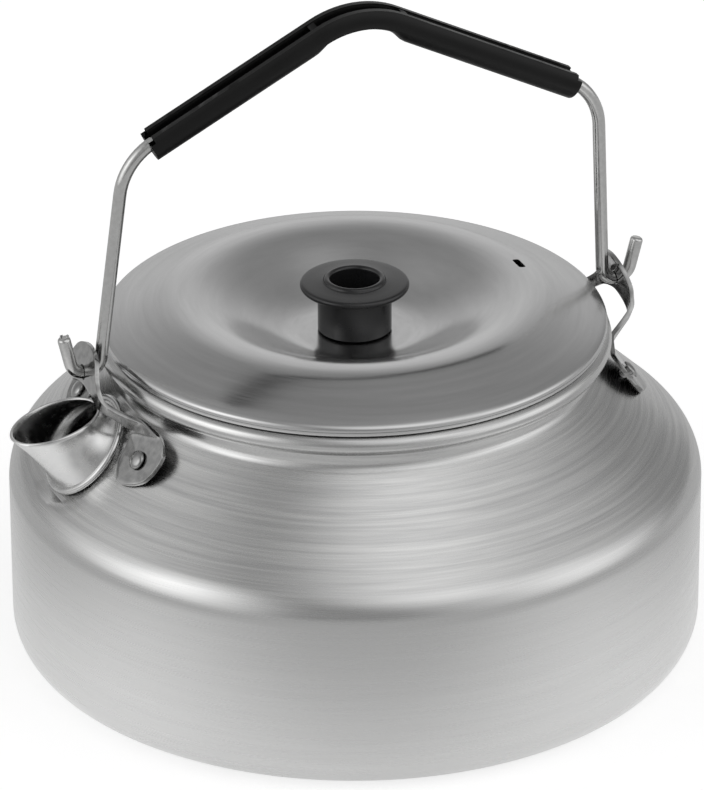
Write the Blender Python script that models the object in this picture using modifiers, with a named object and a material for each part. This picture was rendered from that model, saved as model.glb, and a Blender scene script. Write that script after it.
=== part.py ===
"""Camping kettle, about 0.9 litre: a spun aluminium body with a pressed spout, a lift-off lid with a
spool knob, two riveted ears and a swinging wire bail with a slotted grip.

Metres, +Z up. The origin is the middle of the flat base. The spout points to -X, the rear ear is at
+X, and the bail at rest stands in the XZ plane.
"""
import math

import bmesh
import bpy
from mathutils import Matrix, Vector

MM = 0.001

# Fits
GAP = 0.3 * MM                     # between seated faces
ROUND_STEPS = 56                   # facets round the body and the lid

# Body: spun sheet
SHEET = 0.9 * MM
BODY_RADIUS = 77.5 * MM
BASE_CORNER = 8.0 * MM
WALL_TOP = 39.7 * MM               # where the upright wall ends
SHOULDER_ROUND = 10.5 * MM
SHOULDER_TURN = math.radians(47.4) # how far the round turns in, to the cone
SHOULDER_SPAN = 20.9 * MM          # from the wall in to the neck
NECK_RADIUS = BODY_RADIUS - SHOULDER_SPAN
NECK_FILLET = 7.0 * MM             # hollow between cone and neck
NECK_HEIGHT = 5.7 * MM             # upright stretch over it
BEAD_RADIUS = 1.1 * MM             # rolled rim, radius of its section
BEAD_REACH = NECK_RADIUS + 0.4 * MM  # outermost radius of the rolled rim
BEAD_RISE = 1.7 * MM               # from the neck's top edge to the middle of the roll

# Flat seat pressed into the shoulder for the spout
SEAT_HEIGHT = WALL_TOP + 17.6 * MM  # where its axis leaves the shoulder
SEAT_TILT = math.radians(40.5)     # of its axis, above level
SEAT_DEPTH = 0.2 * MM
SEAT_FLAT = 13.4 * MM              # radius of the flat where the sheet is pressed in
SEAT_EDGE = 15.6 * MM
SEAT_RAISED_FLAT = 11.2 * MM       # radius of the flat where the sheet is drawn out
SEAT_RAISED_EDGE = 12.8 * MM
SEAT_GRID = 2.1 * MM               # spacing of the vertices that shape it
SEAT_GRID_REACH = math.radians(18.5)
SEAT_GRID_DROP = 1.2 * MM          # how far the finer grid starts below the cone
SEAT_REACH = 8.0 * MM              # of the press, to both sides of the seat
LEVEL = 0.1 * MM                   # heights closer than this count as one

# Spout
SPOUT_SHEET = 0.8 * MM
SPOUT_STEPS = 28
SPIGOT_RADIUS = 9.4 * MM
SPOUT_FOOT = 11.0 * MM
SPOUT_BEAD = 12.3 * MM
MOUTH_X = -NECK_RADIUS - 14.1 * MM
MOUTH_Z = WALL_TOP + 24.9 * MM
MOUTH_TILT = math.radians(76.0)
MOUTH_HALF_LENGTH = 10.5 * MM
MOUTH_HALF_WIDTH = 8.4 * MM
SPOUT_WAIST = 0.9 * MM             # how far the wall bows in between foot and mouth
SPOUT_SHARES = (0.25, 0.5, 0.75, 0.92)  # where its rings lie between foot and mouth
FOOT_RISE = 1.5 * MM               # of the wall's foot over the seat, on top of the bead
BEAD_ROUND = 0.5 * MM              # rounding of the bead's upper and lower edge
FLARE = 1.1 * MM                   # how far the spigot's end is flared out behind the sheet
FLARE_DEPTH = 0.8 * MM
LIP_ROUND = 0.3 * MM

# Lid: pressed sheet
LID_SHEET = 0.8 * MM
LID_RADIUS = NECK_RADIUS - 0.6 * MM
LID_EDGE = 2.2 * MM                # height of the folded edge
LID_SLOPE = math.radians(21.0)     # of the ring between edge and ridge
RIDGE_RADIUS = LID_RADIUS - 17.6 * MM
RIDGE_ROUND = 14.0 * MM
DISH_DEPTH = 8.9 * MM              # from ridge to floor
FLOOR_RADIUS = 12.0 * MM
PLUG_DEPTH = 6.0 * MM              # skirt below the edge
PLUG_FIT = 0.45 * MM               # between skirt and rolled rim
VENT_LENGTH = 4.6 * MM
VENT_WIDTH = 1.2 * MM
VENT_RADIUS = RIDGE_RADIUS + 1.2 * MM  # along +X
EDGE_ROUND = 0.4 * MM              # at the folded edge and the skirt's end
EDGE_RUN_OUT = 0.7 * MM            # from the slope's last point to the edge

# Knob: moulded spool on a rivet
KNOB_RADIUS = 8.2 * MM
KNOB_FLANGE = 12.1 * MM
KNOB_HEIGHT = 12.3 * MM
KNOB_BORE = 5.4 * MM
KNOB_WEB = 2.8 * MM
KNOB_RIVET_SHANK = 1.5 * MM
KNOB_RIVET_HEAD = 3.4 * MM
WASHER_RADIUS = 5.5 * MM
WASHER_THICK = 0.8 * MM
KNOB_RIVET_RISE = 1.2 * MM         # of its domed head
KNOB_RIVET_TAIL = 0.9 * MM
KNOB_COLLAR = 1.6 * MM             # width of the raised collar round the bore
KNOB_COLLAR_RISE = 0.9 * MM
KNOB_ROUND = 0.5 * MM              # rounding of the collar's edges
FLANGE_EDGE = 2.0 * MM             # thickness of the flange at its edge
FLANGE_UNDERCUT = 1.5 * MM         # drop of its underside towards the stem

# Ears: one pressed blank, used twice
EAR_SHEET = 1.0 * MM
EAR_STAND = NECK_RADIUS + 7.0 * MM  # distance of the upright tab from the axis
EAR_TOP_LEAN = 1.8 * MM            # how far the tab's top leans in
EAR_FLANK_START = 9.2 * MM         # half width that stays upright
EAR_FLANK_SLOPE = 1.15             # how far the flanks fall back for each unit across
EAR_TUCK = 0.6                     # how much narrower the tab gets for each unit down
EAR_TUCK_HEIGHT = -4.0 * MM        # over the pivot, where it has the half width above
EAR_BEND = 1.2 * MM                # rounding between tab, flank and foot
EAR_FOOT_TURN = math.radians(9.0)  # heading of the flat foot, away from the tab's
EAR_FOOT_RISE = math.radians(36.0) # elevation of the way the foot faces
EAR_FOOT_LIFT = 0.5 * MM           # of the foot at its rivet, over a close seat
EAR_ROWS = 4
EAR_SPAN_STEPS = 2
# Edges of the blank from its middle outwards, across and up from the pivot
EAR_UPPER_EDGE = [(0.0, 6.2), (5.0, 4.8), (7.9, 1.1), (8.8, -1.2), (10.4, -3.8), (12.4, -6.0),
                  (15.4, -6.9), (18.6, -7.7), (21.4, -8.2), (24.4, -8.2), (26.4, -8.7), (27.2, -10.8)]
EAR_LOWER_EDGE = [(0.0, -2.8), (3.6, -3.4), (6.3, -4.4), (8.0, -5.4), (9.4, -6.8), (10.7, -8.9),
                  (12.0, -12.3), (13.2, -16.0), (17.1, -18.6), (21.7, -18.5), (25.4, -16.8),
                  (27.1, -13.8)]
PIVOT_HEIGHT = WALL_TOP + 35.8 * MM
EAR_RIVET_ACROSS = 18.6 * MM
EAR_RIVET_HEIGHT = WALL_TOP + 20.8 * MM
RIVET_SHANK = 1.2 * MM
RIVET_HEAD = 2.15 * MM
RIVET_DOME = 1.1 * MM
RIVET_TAIL = 0.8 * MM
RIVET_SLACK = 0.7 * MM             # between the body's sheet and the set tail, at the middle
RIVET_SKIRT = 0.25 * MM            # upright rim under the dome
TAIL_START = 0.95                  # tail's radii as shares of the head's
TAIL_END = 0.8

# Bail: one wire, bent in a plane that swings about the pivots; heights are above them
WIRE_RADIUS = 1.45 * MM
BAIL_SWING = math.radians(1.9)     # at rest, from upright towards -Y
BAIL_PEAK = 76.8 * MM              # where the two arms would meet
ARM_SLOPE = math.radians(27.1)
LEG_FOOT_X = EAR_STAND - 3.5 * MM
FRONT_CORNER_X = LEG_FOOT_X - 6.0 * MM  # the spout side's leg leans in more than the rear one
REAR_CORNER_X = LEG_FOOT_X - 2.5 * MM
HOOK_CORNER_X = EAR_STAND + 2.6 * MM
HOOK_TIP_X = EAR_STAND + 4.8 * MM
HOOK_TIP_HEIGHT = 9.2 * MM
PEAK_BEND = 20.0 * MM
CORNER_BEND = 14.5 * MM
FOOT_BEND = 3.2 * MM
BEND_STEPS = 6

# Grip: moulded round section with a slot on top
GRIP_RADIUS = WIRE_RADIUS + 2.3 * MM
GRIP_FLAT = WIRE_RADIUS + 1.05 * MM  # height of the flat over the wire's middle
GRIP_FRONT_REACH = 48.3 * MM       # from the peak to its ends, measured level
GRIP_REAR_REACH = 51.5 * MM
GRIP_MOUTH = WIRE_RADIUS           # half width of the slot at the lips
GRIP_RELIEF = 1.2 * MM             # thinning under the peak
GRIP_LIP_SETBACK = 1.2 * MM
LIP_STEP = 0.02 * MM               # length over which the lips drop
GRIP_LIP_DROP = 1.0 * MM           # by this much
GRIP_LIP_DEPTH = 0.5 * MM          # thickness of the lips at the slot
GRIP_RELIEF_START = 6.0 * MM       # from the peak, along X
GRIP_RELIEF_END = 12.0 * MM
CLIP_FROM_PEAK = 9.6 * MM          # bridges over the slot
CLIP_LENGTH = 1.6 * MM
CLIP_BITE = 0.75 * MM              # how far a bridge reaches into each lip
CLIP_CLEARANCE = 0.1 * MM          # over the bore, besides the gap

PARTS = "camping_kettle"
CUTTERS = "cutters"


# Scene

def clear_scene():
    for obj in list(bpy.data.objects):
        bpy.data.objects.remove(obj, do_unlink=True)
    for name in (PARTS, CUTTERS):
        collection = bpy.data.collections.new(name)
        bpy.context.scene.collection.children.link(collection)


def material(name, colour, roughness, metallic):
    mat = bpy.data.materials.new(name)
    mat.use_nodes = True
    shader = mat.node_tree.nodes["Principled BSDF"]
    shader.inputs["Base Color"].default_value = (*colour, 1.0)
    shader.inputs["Roughness"].default_value = roughness
    shader.inputs["Metallic"].default_value = metallic
    return mat


def spun_aluminium():
    return material("spun_aluminium", (0.60, 0.60, 0.60), 0.38, 1.0)


def pressed_aluminium():
    return material("pressed_aluminium", (0.55, 0.55, 0.55), 0.32, 1.0)


def bright_steel():
    return material("bright_steel", (0.50, 0.50, 0.50), 0.16, 1.0)


def drawn_wire():
    return material("drawn_wire", (0.62, 0.62, 0.61), 0.28, 1.0)


def black_phenolic():
    return material("black_phenolic", (0.020, 0.020, 0.021), 0.30, 0.0)


def black_nylon():
    return material("black_nylon", (0.012, 0.012, 0.012), 0.42, 0.0)


def place(obj, collection, mat=None):
    bpy.data.collections[collection].objects.link(obj)
    if mat is not None:
        obj.data.materials.append(mat)
    if collection == CUTTERS:
        obj.hide_render = True
        obj.display_type = 'WIRE'
    return obj


def smooth(obj, angle=35.0):
    obj.data.shade_smooth()
    obj.data.set_sharp_from_angle(angle=math.radians(angle))


def carry(obj, empty):
    """Parents a piece to the empty on its joint's axis and leaves the piece where it is."""
    obj.parent = empty
    obj.matrix_parent_inverse = Matrix.Translation(-empty.location)


def joint_empty(name, location):
    empty = bpy.data.objects.new(name, None)
    empty.location = location
    bpy.data.collections[PARTS].objects.link(empty)
    return empty


# Outlines and meshes

def arc(centre, radius, start, end, steps):
    """Points on an arc in the plane of radius and height; angles in degrees."""
    points = []
    for i in range(steps + 1):
        angle = math.radians(start + (end - start) * i / steps)
        points.append((centre[0] + radius * math.cos(angle), centre[1] + radius * math.sin(angle)))
    return points


def parallel(points, distance):
    """The curve beside an open outline, to the left of its direction."""
    result = []
    for i, point in enumerate(points):
        before = Vector(points[max(i - 1, 0)])
        here = Vector(point)
        after = Vector(points[min(i + 1, len(points) - 1)])
        sides = []
        for step in (here - before, after - here):
            if step.length > 1e-9:
                step.normalize()
                sides.append(Vector((-step.y, step.x)))
        side = sum(sides, Vector((0.0, 0.0))).normalized()
        reach = distance / max(side.dot(sides[0]), 0.5)
        result.append(tuple(here + side * reach))
    return result


def turned(name, outline, collection, mat=None, steps=ROUND_STEPS, closed=False):
    """Turns an outline of (radius, height) points round Z; it runs down its outer side."""
    mesh = bpy.data.meshes.new(name)
    vertices = [(radius, 0.0, height) for radius, height in outline]
    edges = [(i, i + 1) for i in range(len(outline) - 1)]
    if closed:
        edges.append((len(outline) - 1, 0))
    mesh.from_pydata(vertices, edges, [])
    obj = place(bpy.data.objects.new(name, mesh), collection, mat)
    screw = obj.modifiers.new("Turn", 'SCREW')
    screw.axis = 'Z'
    screw.steps = steps
    screw.render_steps = steps
    screw.use_merge_vertices = True
    screw.merge_threshold = 0.00001
    screw.use_smooth_shade = True
    return obj


def apply_modifiers(obj):
    bpy.context.view_layer.update()
    graph = bpy.context.evaluated_depsgraph_get()
    mesh = bpy.data.meshes.new_from_object(obj.evaluated_get(graph))
    obj.modifiers.clear()
    obj.data = mesh


def loft(name, rings, collection, mat=None, round_section=True, cyclic=False):
    """Skins a row of rings with equal counts; the two ends are capped unless the row is cyclic."""
    mesh = bmesh.new()
    rows = [[mesh.verts.new(point) for point in ring] for ring in rings]
    count = len(rows[0])
    spans = list(zip(rows, rows[1:] + rows[:1])) if cyclic else list(zip(rows, rows[1:]))
    for lower, upper in spans:
        for i in range(count if round_section else count - 1):
            j = (i + 1) % count
            mesh.faces.new((lower[i], lower[j], upper[j], upper[i]))
    if round_section and not cyclic:
        mesh.faces.new(list(reversed(rows[0])))
        mesh.faces.new(rows[-1])
    if round_section:
        bmesh.ops.recalc_face_normals(mesh, faces=mesh.faces)
    data = bpy.data.meshes.new(name)
    mesh.to_mesh(data)
    mesh.free()
    return place(bpy.data.objects.new(name, data), collection, mat)


def post(name, radius, length, matrix, steps=24):
    """A cylinder cutter whose axis runs along the matrix's Z, centred on it."""
    mesh = bmesh.new()
    bmesh.ops.create_cone(mesh, cap_ends=True, segments=steps, radius1=radius, radius2=radius,
                          depth=length, matrix=matrix)
    data = bpy.data.meshes.new(name)
    mesh.to_mesh(data)
    mesh.free()
    return place(bpy.data.objects.new(name, data), CUTTERS)


def block(name, size, matrix):
    mesh = bmesh.new()
    bmesh.ops.create_cube(mesh, size=1.0, matrix=matrix @ Matrix.Diagonal((*size, 1.0)))
    data = bpy.data.meshes.new(name)
    mesh.to_mesh(data)
    mesh.free()
    return place(bpy.data.objects.new(name, data), CUTTERS)


def combine(obj, other, operation='DIFFERENCE'):
    modifier = obj.modifiers.new(other.name, 'BOOLEAN')
    modifier.operation = operation
    modifier.solver = 'EXACT'
    modifier.object = other


def blend(value, low, high):
    """Smooth step from 0 at low to 1 at high."""
    t = min(max((value - low) / (high - low), 0.0), 1.0)
    return t * t * (3.0 - 2.0 * t)


def spline(points, steps):
    """Smooth curve through points of a half outline whose first point lies on the mirror line."""
    mirror = (-points[1][0], points[1][1])
    last = (2 * points[-1][0] - points[-2][0], 2 * points[-1][1] - points[-2][1])
    row = [Vector(p) for p in [mirror, *points, last]]
    curve = []
    for a, b, c, d in zip(row, row[1:], row[2:], row[3:]):
        for i in range(steps):
            t = i / steps
            curve.append(0.5 * (2 * b + (c - a) * t + (2 * a - 5 * b + 4 * c - d) * t * t
                                + (3 * b - 3 * c + d - a) * t ** 3))
    curve.append(row[-2])
    return curve


# Shoulder geometry, shared by all that sits on it

def cone_start():
    """Radius and height where the shoulder's round ends and its cone starts."""
    return (BODY_RADIUS - SHOULDER_ROUND * (1 - math.cos(SHOULDER_TURN)),
            WALL_TOP + SHOULDER_ROUND * math.sin(SHOULDER_TURN))


def neck_corner():
    """Height where the cone would meet the neck."""
    radius, height = cone_start()
    return height + (radius - NECK_RADIUS) / math.tan(SHOULDER_TURN)


def neck_trim():
    """How far the fillet reaches from the neck's corner."""
    return NECK_FILLET * math.tan(SHOULDER_TURN / 2)


def fillet_centre():
    return NECK_RADIUS + NECK_FILLET, neck_corner() + neck_trim()


def shell_radius(height, outset=0.0):
    """Radius of the surface that lies outside the shoulder and neck by outset."""
    centre = fillet_centre()
    below = centre[1] - height
    hollow = NECK_FILLET - outset
    if below <= 0.0:
        return NECK_RADIUS + outset
    if below < hollow * math.sin(SHOULDER_TURN):
        return centre[0] - math.sqrt(hollow ** 2 - below ** 2)
    radius, start = cone_start()
    return radius - (height - start) * math.tan(SHOULDER_TURN) + outset / math.cos(SHOULDER_TURN)


def foot_frame(side, hand):
    """Frame of an ear's flat foot at its rivet: its origin is on the shoulder, Z out of the sheet.

    The side is +1 at +X and -1 at -X; the hand is +1 at +Y and -1 at -Y.
    """
    radius = shell_radius(EAR_RIVET_HEIGHT)
    spot = Vector((side * math.sqrt(radius ** 2 - EAR_RIVET_ACROSS ** 2), hand * EAR_RIVET_ACROSS,
                   EAR_RIVET_HEIGHT))
    level = math.cos(EAR_FOOT_RISE)
    out = Vector((side * level * math.cos(EAR_FOOT_TURN), hand * level * math.sin(EAR_FOOT_TURN),
                  math.sin(EAR_FOOT_RISE)))
    along = Vector((0.0, 0.0, 1.0)).cross(out).normalized()
    rotation = Matrix((along.cross(out), along, out)).transposed().to_4x4()
    return Matrix.Translation(spot) @ rotation


def seat_frame():
    """The spout's frame on its pressed seat: Z out along its axis, X down the shoulder."""
    out = Vector((-math.cos(SEAT_TILT), 0.0, math.sin(SEAT_TILT)))
    down = Vector((-math.sin(SEAT_TILT), 0.0, -math.cos(SEAT_TILT)))
    on_shoulder = Vector((-shell_radius(SEAT_HEIGHT), 0.0, SEAT_HEIGHT))
    rotation = Matrix((down, out.cross(down), out)).transposed().to_4x4()
    return Matrix.Translation(on_shoulder - out * SEAT_DEPTH) @ rotation


# Body

def neck_top():
    return neck_corner() + neck_trim() + NECK_HEIGHT


def rim_top():
    return neck_top() + BEAD_RISE + BEAD_RADIUS


def body_outline():
    turn = math.degrees(SHOULDER_TURN)
    outer = [(0.0, 0.0)]
    outer += arc((BODY_RADIUS - BASE_CORNER, BASE_CORNER), BASE_CORNER, -90, 0, 4)
    outer += arc((BODY_RADIUS - SHOULDER_ROUND, WALL_TOP), SHOULDER_ROUND, 0, turn, 4)
    outer += arc(fillet_centre(), NECK_FILLET, 180 + turn, 180, 3)
    outer.append((NECK_RADIUS, neck_top()))
    inner = parallel(outer, SHEET)
    inner[0] = (0.0, SHEET)
    roll = arc((BEAD_REACH - BEAD_RADIUS, neck_top() + BEAD_RISE), BEAD_RADIUS, 240, -50, 6)
    return inner + roll + list(reversed(outer))


def refine_seat(mesh):
    """Adds vertices to the part of the shoulder that the spout's seat is pressed into."""
    low = cone_start()[1] - SEAT_GRID_DROP
    high = neck_top() + LEVEL

    def near(vert):
        return abs(math.atan2(vert.co.y, -vert.co.x)) < SEAT_GRID_REACH and low < vert.co.z < high

    def lies_level(edge):
        return abs(edge.verts[0].co.z - edge.verts[1].co.z) < LEVEL / 10

    rising = [e for e in mesh.edges if all(near(v) for v in e.verts) and not lies_level(e)]
    longest = max(e.calc_length() for e in rising)
    for cuts in range(1, int(longest / SEAT_GRID) + 1):
        fitting = [e for e in rising if int(e.calc_length() / SEAT_GRID) == cuts]
        bmesh.ops.subdivide_edges(mesh, edges=fitting, cuts=cuts)
    level = [e for e in mesh.edges if all(near(v) for v in e.verts) and lies_level(e)]
    bmesh.ops.subdivide_edges(mesh, edges=level, cuts=2)


def press_seat(mesh):
    """Moves both faces of the sheet onto the flat seat and blends them out to the cone."""
    frame = seat_frame()
    back = frame.inverted()
    for vert in mesh.verts:
        local = back @ vert.co
        distance = math.hypot(local.x, local.y)
        if abs(local.z) > SEAT_REACH or distance > SEAT_EDGE:
            continue
        inside = math.hypot(vert.co.x, vert.co.y) < shell_radius(vert.co.z, -SHEET / 2)
        lift = (-SHEET if inside else 0.0) - local.z
        if lift > 0.0:
            share = blend(distance, SEAT_RAISED_FLAT, SEAT_RAISED_EDGE)
        else:
            share = blend(distance, SEAT_FLAT, SEAT_EDGE)
        local.z += lift * (1.0 - share)
        vert.co = frame @ local


def kettle_body(mat):
    body = turned("kettle_body", body_outline(), PARTS, mat)
    apply_modifiers(body)
    mesh = bmesh.new()
    mesh.from_mesh(body.data)
    refine_seat(mesh)
    press_seat(mesh)
    mesh.to_mesh(body.data)
    mesh.free()
    combine(body, post("spout_hole", SPIGOT_RADIUS + GAP, 8 * MM, seat_frame(), 36))
    for name, frame in ear_rivet_frames():
        combine(body, post(name + "_body_hole", RIVET_SHANK + GAP, 6 * MM, frame, 16))
    smooth(body)


# Spout

def spout_ring(radius, height):
    frame = seat_frame()
    ring = []
    for i in range(SPOUT_STEPS):
        t = 2 * math.pi * i / SPOUT_STEPS
        ring.append(frame @ Vector((radius * math.cos(t), radius * math.sin(t), height)))
    return ring


def mouth_ring(inset=0.0, lift=0.0):
    out = Vector((-math.cos(MOUTH_TILT), 0.0, math.sin(MOUTH_TILT)))
    down = Vector((-math.sin(MOUTH_TILT), 0.0, -math.cos(MOUTH_TILT)))
    side = out.cross(down)
    centre = Vector((MOUTH_X, 0.0, MOUTH_Z)) + out * lift
    ring = []
    for i in range(SPOUT_STEPS):
        t = 2 * math.pi * i / SPOUT_STEPS
        ring.append(centre + down * (MOUTH_HALF_LENGTH - inset) * math.cos(t)
                    + side * (MOUTH_HALF_WIDTH - inset) * math.sin(t))
    return ring


def wall_ring(foot, mouth, share):
    """A ring between foot and mouth, bowed in so that the wall flares like a trumpet."""
    middle = sum(foot, Vector()) / len(foot) * (1 - share) + sum(mouth, Vector()) / len(mouth) * share
    bow = SPOUT_WAIST * math.sin(math.pi * share)
    ring = []
    for a, b in zip(foot, mouth):
        point = a.lerp(b, share)
        inward = (middle - point).normalized()
        height = min((b - a).length / SPOUT_FOOT, 1.0)
        ring.append(point + inward * bow * height)
    return ring


def spout(mat):
    foot = spout_ring(SPOUT_FOOT, FOOT_RISE)
    lip = mouth_ring()
    inner_foot = spout_ring(SPOUT_FOOT - SPOUT_SHEET, FOOT_RISE - SPOUT_SHEET / 4)
    inner_lip = mouth_ring(SPOUT_SHEET, LIP_ROUND / 3)
    behind = -SHEET - GAP
    bore = SPIGOT_RADIUS - SPOUT_SHEET
    rings = [wall_ring(foot, lip, share) for share in reversed(SPOUT_SHARES)]
    rings.append(foot)
    rings.append(spout_ring(SPOUT_BEAD - BEAD_ROUND, FOOT_RISE + SPOUT_SHEET / 4))
    rings.append(spout_ring(SPOUT_BEAD, FOOT_RISE - BEAD_ROUND))
    rings.append(spout_ring(SPOUT_BEAD - BEAD_ROUND, GAP))
    rings.append(spout_ring(SPIGOT_RADIUS, GAP))
    rings.append(spout_ring(SPIGOT_RADIUS, behind))
    rings.append(spout_ring(SPIGOT_RADIUS + FLARE, behind - GAP / 3))
    rings.append(spout_ring(SPIGOT_RADIUS + FLARE, behind - FLARE_DEPTH))
    rings.append(spout_ring(SPIGOT_RADIUS - LIP_ROUND, behind - FLARE_DEPTH - GAP / 3))
    rings.append(spout_ring(bore, behind - GAP / 3))
    rings.append(spout_ring(bore, FOOT_RISE - BEAD_ROUND))
    rings.append(inner_foot)
    rings += [wall_ring(inner_foot, inner_lip, share) for share in SPOUT_SHARES]
    rings.append(inner_lip)
    rings.append(mouth_ring(SPOUT_SHEET / 2, LIP_ROUND))
    rings.append(lip)
    smooth(loft("spout", rings, PARTS, mat, cyclic=True), 50)


# Ears

def farther(one, other, rounding):
    """The larger of two distances, rounded where they meet."""
    apart = one - other
    return other + 0.5 * (apart + math.sqrt(apart ** 2 + rounding ** 2))


def ear_depth(across, height):
    """Distance from the axis, along X, of the ear's middle surface."""
    frame = foot_frame(1, 1)
    spot, out = frame.translation, frame.col[2]
    seat = GAP + EAR_SHEET / 2
    across = abs(across)
    on_shell = math.sqrt(max(shell_radius(height, seat) ** 2 - across ** 2, 0.0))
    on_foot = spot.x + (seat + EAR_FOOT_LIFT - out.y * (across - spot.y)
                        - out.z * (height - spot.z)) / out.x
    lean = EAR_TOP_LEAN * blend(height, PIVOT_HEIGHT, PIVOT_HEIGHT + 8 * MM)
    start = EAR_FLANK_START + EAR_TUCK * (height - PIVOT_HEIGHT - EAR_TUCK_HEIGHT)
    fall = EAR_FLANK_SLOPE * farther(across - start, 0.0, EAR_BEND)
    return farther(EAR_STAND - lean - fall, max(on_shell, on_foot), EAR_BEND)


def ear_stations():
    """Pairs of upper and lower edge points from one foot's tip to the other's."""
    upper = spline(EAR_UPPER_EDGE, EAR_SPAN_STEPS)
    lower = spline(EAR_LOWER_EDGE, EAR_SPAN_STEPS)
    half = list(zip(upper, lower))
    mirrored = [(Vector((-a.x, a.y)), Vector((-b.x, b.y))) for a, b in reversed(half[1:])]
    return mirrored + half


def ear(name, side, mat):
    rings = []
    for upper, lower in ear_stations():
        ring = []
        for row in range(EAR_ROWS + 1):
            flat = lower.lerp(upper, row / EAR_ROWS)
            across, height = flat.x * MM, PIVOT_HEIGHT + flat.y * MM
            ring.append((side * ear_depth(across, height), side * across, height))
        rings.append(ring)
    obj = loft(name, rings, PARTS, mat, round_section=False)
    sheet = obj.modifiers.new("Sheet", 'SOLIDIFY')
    sheet.thickness = EAR_SHEET
    sheet.offset = 0.0
    sheet.use_even_offset = True
    pivot = Matrix.Translation((side * EAR_STAND, 0.0, PIVOT_HEIGHT)) @ Matrix.Rotation(
        math.pi / 2, 4, 'Y')
    combine(obj, post(name + "_pivot_hole", WIRE_RADIUS + GAP, 6 * MM, pivot, 20))
    for rivet, frame in ear_rivet_frames():
        if frame.translation.x * side > 0:
            combine(obj, post(rivet + "_ear_hole", RIVET_SHANK + GAP, 6 * MM, frame, 16))
    smooth(obj)


# Rivets

def ear_rivet_frames():
    spots = [(-1, -1), (-1, 1), (1, -1), (1, 1)]
    return [("ear_rivet_%d" % (i + 1), foot_frame(side, hand))
            for i, (side, hand) in enumerate(spots)]


def rivet_outline():
    """Domed head over the ear, shank through both sheets and set tail inside the body."""
    seat = 2 * GAP + EAR_SHEET + EAR_FOOT_LIFT
    bottom = -SHEET - RIVET_SLACK
    dome = [(RIVET_HEAD * math.sin(t), seat + RIVET_SKIRT + (RIVET_DOME - RIVET_SKIRT) * math.cos(t))
            for t in (math.radians(a) for a in (0, 30, 60, 90))]
    dome[0] = (0.0, seat + RIVET_DOME)
    return dome + [(RIVET_HEAD, seat), (RIVET_SHANK, seat), (RIVET_SHANK, bottom),
                   (RIVET_HEAD * TAIL_START, bottom), (RIVET_HEAD * TAIL_END, bottom - RIVET_TAIL),
                   (0.0, bottom - RIVET_TAIL)]


def ear_rivets(mat):
    for name, frame in ear_rivet_frames():
        rivet = turned(name, rivet_outline(), PARTS, mat, steps=14)
        rivet.matrix_world = frame
        smooth(rivet)


# Lid and knob

def lid_heights():
    edge_bottom = rim_top() + GAP
    edge_top = edge_bottom + LID_EDGE
    run = LID_RADIUS - RIDGE_RADIUS - RIDGE_ROUND * math.sin(LID_SLOPE)
    ridge = edge_top + run * math.tan(LID_SLOPE) + RIDGE_ROUND * (1 - math.cos(LID_SLOPE))
    return edge_bottom, edge_top, ridge, ridge - DISH_DEPTH


def lid_top_outline():
    """Upper face of the lid from the rivet hole out to the edge."""
    edge_top, ridge, floor = lid_heights()[1:]
    points = [(KNOB_RIVET_SHANK + GAP, floor), (FLOOR_RADIUS, floor)]
    steps = 6
    for i in range(1, steps + 1):
        share = i / steps
        radius = FLOOR_RADIUS + (RIDGE_RADIUS - FLOOR_RADIUS) * share
        points.append((radius, floor + DISH_DEPTH * (1 - math.cos(math.pi * share)) / 2))
    slope = math.degrees(LID_SLOPE)
    points += arc((RIDGE_RADIUS, ridge - RIDGE_ROUND), RIDGE_ROUND, 90, 90 - slope, 2)[1:]
    points.append((LID_RADIUS - EDGE_RUN_OUT, edge_top + EDGE_RUN_OUT * math.tan(LID_SLOPE)))
    return points


def lid_outline():
    edge_bottom, edge_top, _, floor = lid_heights()
    top = lid_top_outline()
    under = parallel(top, -LID_SHEET)
    under[0] = (top[0][0], floor - LID_SHEET)
    plug = BEAD_REACH - 2 * BEAD_RADIUS - PLUG_FIT
    under = under[:-1] + [(plug - LID_SHEET, edge_bottom + LID_SHEET)]
    skirt_end = edge_bottom - PLUG_DEPTH
    edge = [(LID_RADIUS, edge_top - EDGE_ROUND), (LID_RADIUS, edge_bottom + EDGE_ROUND),
            (LID_RADIUS - EDGE_ROUND, edge_bottom), (plug, edge_bottom),
            (plug, skirt_end + EDGE_ROUND), (plug - EDGE_ROUND, skirt_end),
            (plug - LID_SHEET, skirt_end)]
    return top + edge + list(reversed(under))


def lid(mat):
    obj = turned("lid", lid_outline(), PARTS, mat, closed=True)
    apply_modifiers(obj)
    slot = Matrix.Translation((VENT_RADIUS, 0.0, lid_heights()[2]))
    combine(obj, block("vent_slot", (VENT_WIDTH, VENT_LENGTH, 6 * MM), slot))
    smooth(obj)
    return obj


def knob_outline():
    base = lid_heights()[3] + GAP
    top = base + KNOB_HEIGHT
    hole = KNOB_RIVET_SHANK + GAP
    flange = top - KNOB_COLLAR_RISE
    under = flange - FLANGE_EDGE
    return [(hole, base + KNOB_WEB), (KNOB_BORE, base + KNOB_WEB), (KNOB_BORE, top - KNOB_ROUND),
            (KNOB_BORE + KNOB_ROUND, top), (KNOB_BORE + KNOB_COLLAR - KNOB_ROUND, top),
            (KNOB_BORE + KNOB_COLLAR, top - KNOB_ROUND), (KNOB_FLANGE - KNOB_ROUND, flange),
            (KNOB_FLANGE, flange - KNOB_ROUND), (KNOB_FLANGE, under + KNOB_ROUND),
            (KNOB_FLANGE - 2 * KNOB_ROUND, under), (KNOB_RADIUS, under - FLANGE_UNDERCUT / 2),
            (KNOB_RADIUS, under - FLANGE_UNDERCUT), (KNOB_RADIUS, base), (hole, base)]


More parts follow.
